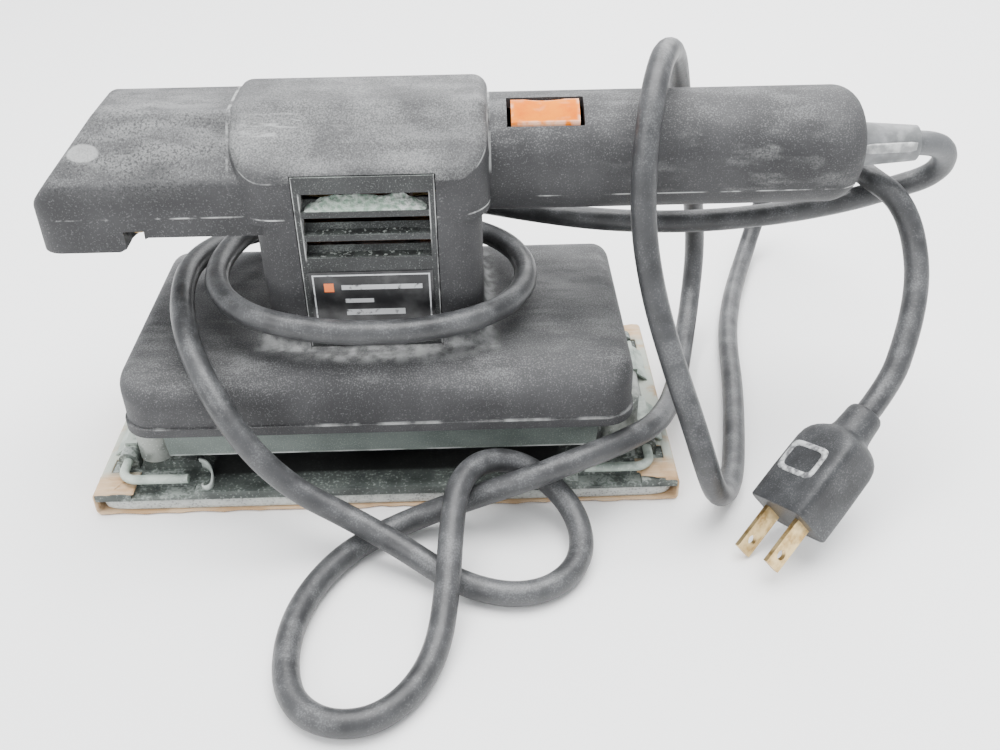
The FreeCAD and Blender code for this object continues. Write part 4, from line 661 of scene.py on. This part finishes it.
def sand_paper():
    """Tan backing on the outside, worn to pale green dust on the folds and frayed edges."""
    s = Surface("sand_paper", 0.85)
    tone = s.mix(s.ramp(s.noise(80, 6), 0.35, 0.65), (0.46, 0.29, 0.15), (0.62, 0.44, 0.27))
    fibres = s.ramp(s.noise(90, 5, stretch=(1, 9, 1), shift=0.3), 0.45, 0.68)
    tone = s.mix(s.times(fibres, 0.35), tone, (0.72, 0.60, 0.45))
    level = s.ramp(s.facing_up, 0.3, 0.9)
    inward = s.ramp(s.calc("ADD", s.calc("ABSOLUTE", s.y), s.times(s.noise(70, 5), 0.012)),
                    0.0470, 0.0405)
    dust = s.times(level, s.ramp(s.noise(140, 8, shift=0.5), 0.28, 0.52), inward, 0.92)
    shade = s.mix(dust, tone, (0.50, 0.55, 0.49))
    below = s.ramp(s.z, 0.0004, 0.0001)
    grit = s.mix(s.ramp(s.noise(3000, 1), 0.42, 0.58), (0.20, 0.12, 0.07), (0.50, 0.36, 0.24))
    s.colour(s.mix(below, shade, grit))
    s.bump((s.noise(2400, 2), 0.00012), (s.noise(260, 4, shift=0.2), 0.0002))
    return s.material


def crumple(name, root, tip, seed):
    """A torn flap of the paper's edge between two lines, each given by its ends in mm."""
    across, along = 13, 15

    def place(i, j):
        share, reach = i / (across - 1), j / (along - 1)
        start = Vector(root[0]).lerp(Vector(root[1]), share)
        end = Vector(tip[0]).lerp(Vector(tip[1]), share)
        torn = 1 + 0.16 * reach * noise.noise(Vector((share * 7, seed, 0.4)))
        point = start.lerp(end, reach * torn)
        fold = noise.noise(Vector((point.x * 0.32, point.y * 0.42, seed)))
        point.z += 0.35 * reach * (0.6 + fold) + 0.12 * math.sin(share * 9 + seed)
        point.y += 0.7 * reach * noise.noise(Vector((point.x * 0.5, seed, point.y * 0.5)))
        return (point + Vector((ORBIT, 0, 0))) * MM

    return grid_mesh(name, across, along, place)


def make_paper():
    """The third of a sheet, wrapped round the pad, its long edges worn ragged."""
    path = paper_path()
    columns = 43
    rows = len(path)

    def place(i, j):
        x, z = path[j]
        share = 2 * i / (columns - 1) - 1
        y = share * PAPER_HALF_WIDTH
        ragged = noise.noise(Vector((x * 0.16, share * 3.1, 4.2)))
        fine = noise.noise(Vector((x * 0.7, share * 9.0, 1.7)))
        edge = max(0.0, abs(share) - 0.9) / 0.1
        y -= math.copysign(edge * (0.5 + 0.75 * ragged + 0.35 * fine), share)
        lift = 0.0
        if z > 4 and abs(x) < PAPER_END - 1.4:
            lift = 0.12 * noise.noise(Vector((x * 0.3, y * 0.2, 0.5)))
        return Vector((x + ORBIT, y, z + lift)) * MM

    def keep(i, j):
        x = (path[j][0] + path[j + 1][0]) / 2
        z = (path[j][1] + path[j + 1][1]) / 2
        y = (2 * (i + 0.5) / (columns - 1) - 1) * PAPER_HALF_WIDTH
        folded = z > FOLD_TOP - 0.5
        at_ear = abs(abs(y) - EAR_Y) < EAR_GAP and abs(abs(x) - CLAMP_X) < EAR_X
        torn = abs(y) > TORN_FROM and abs(x) < PAPER_END - 4.5 and x * y < 0
        return not (folded and (at_ear or torn))

    mesh = grid_mesh("sandpaper", columns, rows, place, keep)
    flaps = (
        crumple("rear_flap", ((93.3, -46.4, 8.2), (93.4, -36.5, 8.5)),
                ((82.6, -44.6, 8.4), (81.4, -38.8, 8.7)), 1.3),
        crumple("front_flap", ((-93.3, -46.4, 8.2), (-93.4, -38.0, 8.5)),
                ((-87.5, -44.9, 8.4), (-84.8, -40.6, 8.6)), 4.1),
    )
    whole = bmesh.new()
    for piece in (mesh, *flaps):
        whole.from_mesh(piece)
    whole.to_mesh(mesh)
    whole.free()
    mesh.update()
    smooth(mesh, 70)
    paper = add_object("sandpaper", mesh, sand_paper(), "platen")
    thick = paper.modifiers.new("thickness", "SOLIDIFY")
    thick.thickness = PAPER_SEEN_THICK * MM
    thick.offset = 0
    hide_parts("sanding_sheet")


def pad_foam():
    """Light grey closed-cell foam, dusty, with small open cells painted darker as painted shade in
    their pits.
    """
    s = Surface("pad_foam", 0.9)
    cells = s.cells(1100)
    # painted shade: darker towards each cell's centre, where the open pores are
    tone = s.mix(s.ramp(cells, 0.05, 0.55), (0.20, 0.205, 0.195), (0.43, 0.44, 0.42))
    chalk = s.times(s.ramp(s.noise(150, 6), 0.40, 0.66), 0.6)
    s.colour(s.mix(chalk, tone, (0.58, 0.60, 0.56)))
    s.bump((cells, 0.0003), (s.noise(200, 4), 0.0003))
    return s.material


def make_foam():
    """The backing pad: a soft slab whose long sides bulge a little between their edges."""
    low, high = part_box("sanding_pad")
    centre = (low + high) / 2
    half = (high - low) / 2
    corners = oval(1, 1, 26, 160)
    rings = []
    levels = 7
    for level in range(levels):
        share = level / (levels - 1)
        swell = -0.55 * MM * (2 * share - 1) ** 4 - 0.7 * MM
        z = low.z + 0.03 * MM + share * (2 * half.z - 0.06 * MM)
        ring = []
        for a, b in corners:
            x = centre.x + a * (half.x + swell)
            y = centre.y + b * (half.y + swell)
            wave = 0.16 * MM * noise.noise(Vector((x * 180, y * 180, z * 400)))
            ring.append(Vector((x - a * abs(wave), y - b * abs(wave), z)))
        rings.append(ring)
    mesh = loft("foam_pad", rings)
    smooth(mesh, 60)
    foam = add_object("foam_pad", mesh, pad_foam(), "platen")
    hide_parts("sanding_pad")


def make_web():
    """A thin pale web that runs out from the platen's raised middle and curls at its edge."""
    steps, bend = 34, 24
    centre, radii = Vector((-62.0, -43.4)), (5.8, 9.8)
    curl = 1.5

    def place(i, j):
        if i <= bend:
            angle = math.pi / 2 * (1 - i / bend)
            x = centre.x + radii[0] * math.cos(angle)
            y = centre.y + radii[1] * math.sin(angle)
        else:
            angle = -math.radians(215) * (i - bend) / (steps - 1 - bend)
            x = centre.x + radii[0] - curl + curl * math.cos(angle)
            y = centre.y + curl * math.sin(angle)
        high = 11.8 - 2.6 * (i / (steps - 1)) ** 1.5
        low = 7.9
        return Vector((x + ORBIT, y, low + (high - low) * j / 3)) * MM

    mesh = grid_mesh("platen_web", steps, 4, place)
    smooth(mesh, 60)
    finish = chalky("pale_web", (0.26, 0.29, 0.27), (0.56, 0.61, 0.57), 0.9)
    web = add_object("platen_web", mesh, finish, "platen")
    thick = web.modifiers.new("thickness", "SOLIDIFY")
    thick.thickness = WEB_THICK * MM
    thick.offset = 0


# ---------------------------------------------------------------- metals and small parts
def metal(name, dark, light, roughness, scale=160, stretch=(1, 1, 1), dust=0.0):
    """Worn metal: cloudy tone, fine marks along one direction, dust on what faces up."""
    s = Surface(name, roughness, 1.0)
    tone = s.mix(s.ramp(s.noise(scale, 5), 0.35, 0.66), dark, light)
    marks = s.ramp(s.noise(700, 3, stretch=stretch, shift=0.3), 0.42, 0.64)
    shade = s.mix(s.times(marks, 0.4), tone, light)
    if dust:
        lying = s.times(s.ramp(s.facing_up, 0.2, 0.9),
                        s.ramp(s.noise(240, 6, shift=0.6), 0.36, 0.62), dust)
        shade = s.mix(lying, shade, (0.50, 0.52, 0.49))
        s.feed(s.calc("SUBTRACT", 1.0, lying), s.shader.inputs["Metallic"])
    s.colour(shade)
    s.roughness(s.calc("ADD", s.times(s.noise(420, 4, shift=0.8), 0.3), roughness - 0.1))
    s.bump((marks, 0.00003),)
    return s.material


def chalky(name, base, dust, amount, roughness=0.75):
    """Painted or rubber parts under a chalky layer that thins on their sides."""
    s = Surface(name, roughness)
    tone = s.mix(s.ramp(s.noise(90, 5), 0.34, 0.66), base, tuple(1.5 * c for c in base))
    level = s.ramp(s.facing_up, -0.4, 0.9)
    cover = s.times(s.ramp(s.noise(170, 8, shift=0.4), 0.34, 0.60),
                    s.calc("ADD", s.times(level, 0.65), 0.35), amount)
    shade = s.mix(cover, tone, dust)
    grit = s.times(s.ramp(s.noise(1500, 2, shift=0.9), 0.62, 0.72), 0.5)
    s.colour(s.mix(grit, shade, (0.66, 0.69, 0.66)))
    s.bump((s.noise(1300, 4), 0.00010), (s.noise(260, 4, shift=0.1), 0.00012))
    return s.material


def platen_paint():
    """Green-grey coating: streaked along its rim, with painted shade making it nearly black under
    the base.
    """
    s = Surface("platen_paint", 0.6)
    tone = s.mix(s.ramp(s.noise(60, 7, stretch=(1, 5, 5)), 0.32, 0.68), (0.026, 0.032, 0.029),
                 (0.056, 0.066, 0.060))
    level = s.ramp(s.facing_up, 0.0, 0.9)
    ends = s.ramp(s.calc("ABSOLUTE", s.x), 0.054, 0.062)
    facing = s.calc("ADD", s.times(level, 0.25), 0.2)
    nearer_ends = s.calc("ADD", s.times(ends, 1.6), 0.7)
    density = s.times(facing, nearer_ends, s.ramp(s.noise(120, 8, shift=0.4), 0.34, 0.66))
    shade = s.mix(s.times(density, 0.6), tone, (0.27, 0.31, 0.28))
    shade = s.mix(s.times(granular(s, density, 1000, 0.3), 0.6), shade, (0.42, 0.46, 0.43))
    # painted shade: the platen's middle, in shadow under the skirt and base, is painted nearly
    # black
    shade_inside_y = s.ramp(s.calc("ABSOLUTE", s.y), 0.0385, 0.0365)
    inside_x = s.ramp(s.calc("ABSOLUTE", s.x), 0.0590, 0.0560)
    s.colour(s.mix(s.times(inside_x, shade_inside_y, 0.93), shade, (0.004, 0.004, 0.004)))
    s.bump((s.noise(1300, 4), 0.00008), (s.noise(260, 4, shift=0.1), 0.0001))
    return s.material


def orange_button():
    """Bright orange switch button, dusty round its rim and faintly smeared."""
    s = Surface("switch_orange", 0.75)
    s.shader.inputs["Specular IOR Level"].default_value = 0.08
    corners = [Vector(corner) for corner in nodes["switch_button"].bound_box]
    low, high = corners[0], corners[6]
    middle, half = (low + high) / 2, (high - low) / 2
    tone = s.mix(s.ramp(s.noise(120, 4), 0.35, 0.65), (0.74, 0.15, 0.001), (0.86, 0.23, 0.004))
    along = s.ramp(s.calc("ABSOLUTE", s.calc("SUBTRACT", s.x, middle.x)), half.x * 0.88, half.x)
    across = s.ramp(s.calc("ABSOLUTE", s.calc("SUBTRACT", s.y, middle.y)), half.y * 0.86, half.y)
    rim = s.calc("MAXIMUM", along, across)
    rim = s.times(rim, s.ramp(s.noise(330, 6), 0.34, 0.60), 0.6)
    smear = s.times(s.ramp(s.noise(160, 7, stretch=(1, 2, 1)), 0.50, 0.74), 0.22)
    s.colour(s.mix(s.calc("MAXIMUM", rim, smear), tone, (0.86, 0.66, 0.52)))
    s.bump((s.noise(1500, 3), 0.00005),)
    return s.material


def label_film():
    """Black film with a thin silver border and plain grey bars, no lettering."""
    s = Surface("label_film", 0.35)
    low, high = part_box("label_plate")
    middle = (low + high) / 2
    reach_x = s.calc("ABSOLUTE", s.calc("SUBTRACT", s.x, middle.x))
    reach_z = s.calc("ABSOLUTE", s.calc("SUBTRACT", s.z, middle.z))
    half = (high - low) / 2
    edge_x = s.near(reach_x, half.x - 0.0011, 0.00018, 0.00008)
    edge_z = s.near(reach_z, half.z - 0.0011, 0.00018, 0.00008)
    inside_x = s.ramp(reach_x, half.x - 0.0008, half.x - 0.0009)
    inside_z = s.ramp(reach_z, half.z - 0.0008, half.z - 0.0009)
    border = s.calc("MAXIMUM", s.times(edge_x, inside_z), s.times(edge_z, inside_x))
    bars = None
    for x, z, half_x, half_z in ((3.0, 71.8, 12.0, 0.75), (-4.0, 67.2, 4.2, 0.65),
                                 (0.6, 63.2, 8.8, 0.95)):
        bar = s.times(s.near(s.x, x * MM, half_x * MM, 0.0001),
                      s.near(s.z, z * MM, half_z * MM, 0.0001))
        bars = bar if bars is None else s.calc("MAXIMUM", bars, bar)
    mark = s.times(s.near(s.x, -0.0128, 0.0014, 0.0001), s.near(s.z, 0.0718, 0.0014, 0.0001))
    wear = s.ramp(s.noise(420, 6), 0.30, 0.46)
    tone = s.mix(s.times(s.ramp(s.noise(140, 6), 0.42, 0.7), 0.3), (0.010, 0.010, 0.011),
                 (0.13, 0.13, 0.13))
    tone = s.mix(s.times(bars, wear, 0.8), tone, (0.60, 0.61, 0.62))
    tone = s.mix(mark, tone, (0.85, 0.20, 0.05))
    s.colour(s.mix(s.times(border, wear), tone, (0.55, 0.56, 0.57)))
    s.bump((s.noise(900, 3), 0.00003),)
    return s.material


def make_materials():
    """One material for each of the record's slots, and each CAD node in its own."""
    slots = {
        "housing_plastic": dusty("housing_plastic", (0.022, 0.022, 0.0235), (0.040, 0.040, 0.042),
                                 (0.235, 0.237, 0.238), 0.92, 0.12,
                                 seams=(powdered_rest, rest_edge, knob_dust, drifted_base,
                                        handle_scuffs, scratched_rest, worn_patch,
                                        parting_line, lip_line, column_foot, rest_crease)),
        "skirt_plastic": dusty("skirt_plastic", (0.060, 0.075, 0.067), (0.105, 0.125, 0.114),
                               (0.30, 0.345, 0.32), 0.9, 0.40, seams=(skirt_edge,)),
        "panel_plastic": dusty("panel_plastic", (0.018, 0.0185, 0.019), (0.034, 0.035, 0.036),
                               (0.30, 0.33, 0.31), 1.0, 0.12, seams=(panel_edge,)),
        "label_film": label_film(),
        "brass_screws": metal("brass_screws", (0.38, 0.25, 0.10), (0.78, 0.58, 0.28), 0.35),
        "lamination_steel": metal("lamination_steel", (0.14, 0.14, 0.15), (0.40, 0.40, 0.41),
                                  0.45, stretch=(1, 1, 14)),
        # copper painted far darker than bare copper: painted shade for the windings deep in the
        # housing behind the vents
        "copper_winding": metal("copper_winding", (0.030, 0.014, 0.008), (0.11, 0.052, 0.028), 0.4,
                                stretch=(1, 1, 10)),
        "carbon": chalky("carbon", (0.012, 0.012, 0.013), (0.07, 0.07, 0.07), 0.4),
        "bright_steel": metal("bright_steel", (0.34, 0.35, 0.36), (0.62, 0.63, 0.65), 0.3,
                              dust=0.5),
        "lead_insulation": chalky("lead_insulation", (0.014, 0.014, 0.015), (0.10, 0.10, 0.10),
                                  0.3, 0.4),
        "blade_brass": metal("blade_brass", (0.40, 0.25, 0.09), (0.76, 0.58, 0.30), 0.36,
                             scale=260),
        "cast_steel": metal("cast_steel", (0.10, 0.10, 0.11), (0.26, 0.26, 0.27), 0.6),
        "fan_aluminium": metal("fan_aluminium", (0.38, 0.39, 0.40), (0.62, 0.63, 0.64), 0.45),
        "platen_paint": platen_paint(),
        "post_rubber": chalky("post_rubber", (0.09, 0.10, 0.09), (0.52, 0.54, 0.50), 0.9),
        "spring_steel": metal("spring_steel", (0.20, 0.21, 0.20), (0.44, 0.46, 0.44), 0.5,
                              stretch=(1, 30, 1), dust=0.6),
        "clamp_zinc": chalky("clamp_zinc", (0.20, 0.24, 0.21), (0.52, 0.58, 0.52), 0.85, 0.5),
        "switch_orange": orange_button(),
        "cord_rubber": bpy.data.materials["cord_rubber"],
        "boot_rubber": boot_rubber(),
    }
    for part in frame["record"]["subparts"]:
        piece = nodes[part["node"]]
        material = slots.get(part["material_slot"])
        if material is None:
            continue
        if not piece.data.materials:
            piece.data.materials.append(material)
        for index in range(len(piece.data.materials)):
            piece.data.materials[index] = material


def boot_rubber():
    """Grey worn rubber, smooth and a little dusty."""
    s = Surface("boot_rubber", 0.5)
    tone = s.mix(s.ramp(s.noise(110, 4), 0.35, 0.65), (0.115, 0.120, 0.122), (0.20, 0.205, 0.21))
    film = s.times(s.ramp(s.noise(240, 7, shift=0.4), 0.44, 0.70), 0.4)
    s.colour(s.mix(film, tone, (0.42, 0.43, 0.43)))
    s.bump((s.noise(1000, 3), 0.00010),)
    return s.material


def pale_rib():
    """Pale rubbed rubber, for the rib on the boot."""
    s = Surface("boot_rib", 0.6)
    s.colour(s.mix(s.ramp(s.noise(300, 7), 0.36, 0.64), (0.26, 0.265, 0.265), (0.60, 0.61, 0.60)))
    s.bump((s.noise(1200, 3), 0.0001),)
    return s.material


# the boot's taper and the rib along it: places in metres, radii in millimetres
BOOT_BASE, RIB_START, RIB_STOP = 0.1455, 0.1492, 0.1655
BOOT_BASE_RADIUS, BOOT_TIP_RADIUS = 7.0, 5.4


def make_boot_rib():
    """The pale flat rib along the boot's near side, following its taper."""
    low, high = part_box("strain_relief")
    axis_z = (low.z + high.z) / 2
    start, stop = RIB_START, RIB_STOP
    rings = []
    for step in range(9):
        x = start + (stop - start) * step / 8
        share = (x - BOOT_BASE) / (high.x - BOOT_BASE)
        radius = (BOOT_BASE_RADIUS + (BOOT_TIP_RADIUS - BOOT_BASE_RADIUS) * share) * MM
        ease = 0.35 if step in (0, 8) else 1.0
        ring = []
        for a, b in oval(1.0, 1.0, 4.0, 20):
            y = -radius - 0.25 * MM * ease + 0.65 * MM * a * ease
            z = axis_z + 1.2 * MM + 1.5 * MM * b * (0.8 if step in (0, 8) else 1.0)
            ring.append(Vector((x, y, z)))
        rings.append(ring)
    mesh = loft("boot_rib", rings)
    smooth(mesh, 50)
    add_object("boot_rib", mesh, pale_rib(), "housing")


# ---------------------------------------------------------------- dust caught in the vents, and painted shade in the nearly clear slots
def caked_dust():
    """Whitish green sanding dust, powdery and lumpy."""
    s = Surface("caked_dust", 0.95)
    lumps = s.noise(700, 8)
    tone = s.mix(s.ramp(lumps, 0.36, 0.62), (0.30, 0.40, 0.33), (0.74, 0.78, 0.74))
    green = s.blob((-4, -26, 97), (11, 4, 3), 0.7)
    s.colour(s.mix(s.times(green, 0.45), tone, (0.36, 0.55, 0.40)))
    s.bump((lumps, 0.0006), (s.noise(2500, 3), 0.0002))
    return s.material


def specks_on_painted_shade():
    """A thin dark grey film of painted shade with pale specks of dust, for the slots that are
    nearly clear.
    """
    s = Surface("specks_on_painted_shade", 0.9)
    specks = s.ramp(s.noise(900, 4, shift=0.4), 0.56, 0.66)
    # the film's dark colour is painted shade inside the slot; the pale specks are dust
    film = s.mix(s.ramp(s.noise(220, 6), 0.35, 0.65), (0.020, 0.022, 0.021), (0.065, 0.075, 0.068))
    s.colour(s.mix(s.times(specks, 0.7), film, (0.50, 0.54, 0.50)))
    s.bump((s.noise(1400, 4), 0.0002),)
    return s.material


# each vent slot's floor, half length and depth of dust, and the slots' front and the
# dust's back in the top slot and in the others, all in millimetres
VENT_SLOTS = ((96.32, 17.6, 3.4), (88.92, 15.5, 0.35), (81.52, 16.0, 0.25))
VENT_FRONT, TOP_SLOT_BACK, OTHER_SLOT_BACK = -27.7, -22.9, -24.3


def make_vent_dust():
    """Dust lying in the slots: a deep drift in the top one; in the others, a thin dark film of
    painted shade with pale dust specks.
    """
    caked, thin = caked_dust(), specks_on_painted_shade()
    for number, (floor, reach, rise) in enumerate(VENT_SLOTS):
        columns, rows = 61, 11
        back = TOP_SLOT_BACK if number == 0 else OTHER_SLOT_BACK

        def place(i, j, number=number, floor=floor, reach=reach, rise=rise, back=back):
            along = 2 * i / (columns - 1) - 1
            slope = j / (rows - 1)
            x = along * reach
            y = VENT_FRONT + (back - VENT_FRONT) * slope
            corners = max(0.0, min(1.0, (abs(x) - 11.5) / 3.5)) if number == 0 else 0.0
            lumps = 0.5 + 0.5 * noise.noise(Vector((x * 0.45, y * 0.9, number * 5.0)))
            height = rise * slope * (0.62 + 0.5 * lumps) * (1 - 0.55 * corners * slope)
            return Vector((x, y, floor - 0.05 + height * (1 - abs(along) ** 14))) * MM

        mesh = grid_mesh("vent_dust_%d" % number, columns, rows, place)
        mesh.update()
        smooth(mesh, 80)
        add_object("vent_dust_%d" % number, mesh, thin if number else caked, "housing")


lead = make_cord()
make_materials()
shell, plug_rim = make_plug()
make_foam()
make_paper()
make_web()
make_boot_rib()
make_vent_dust()
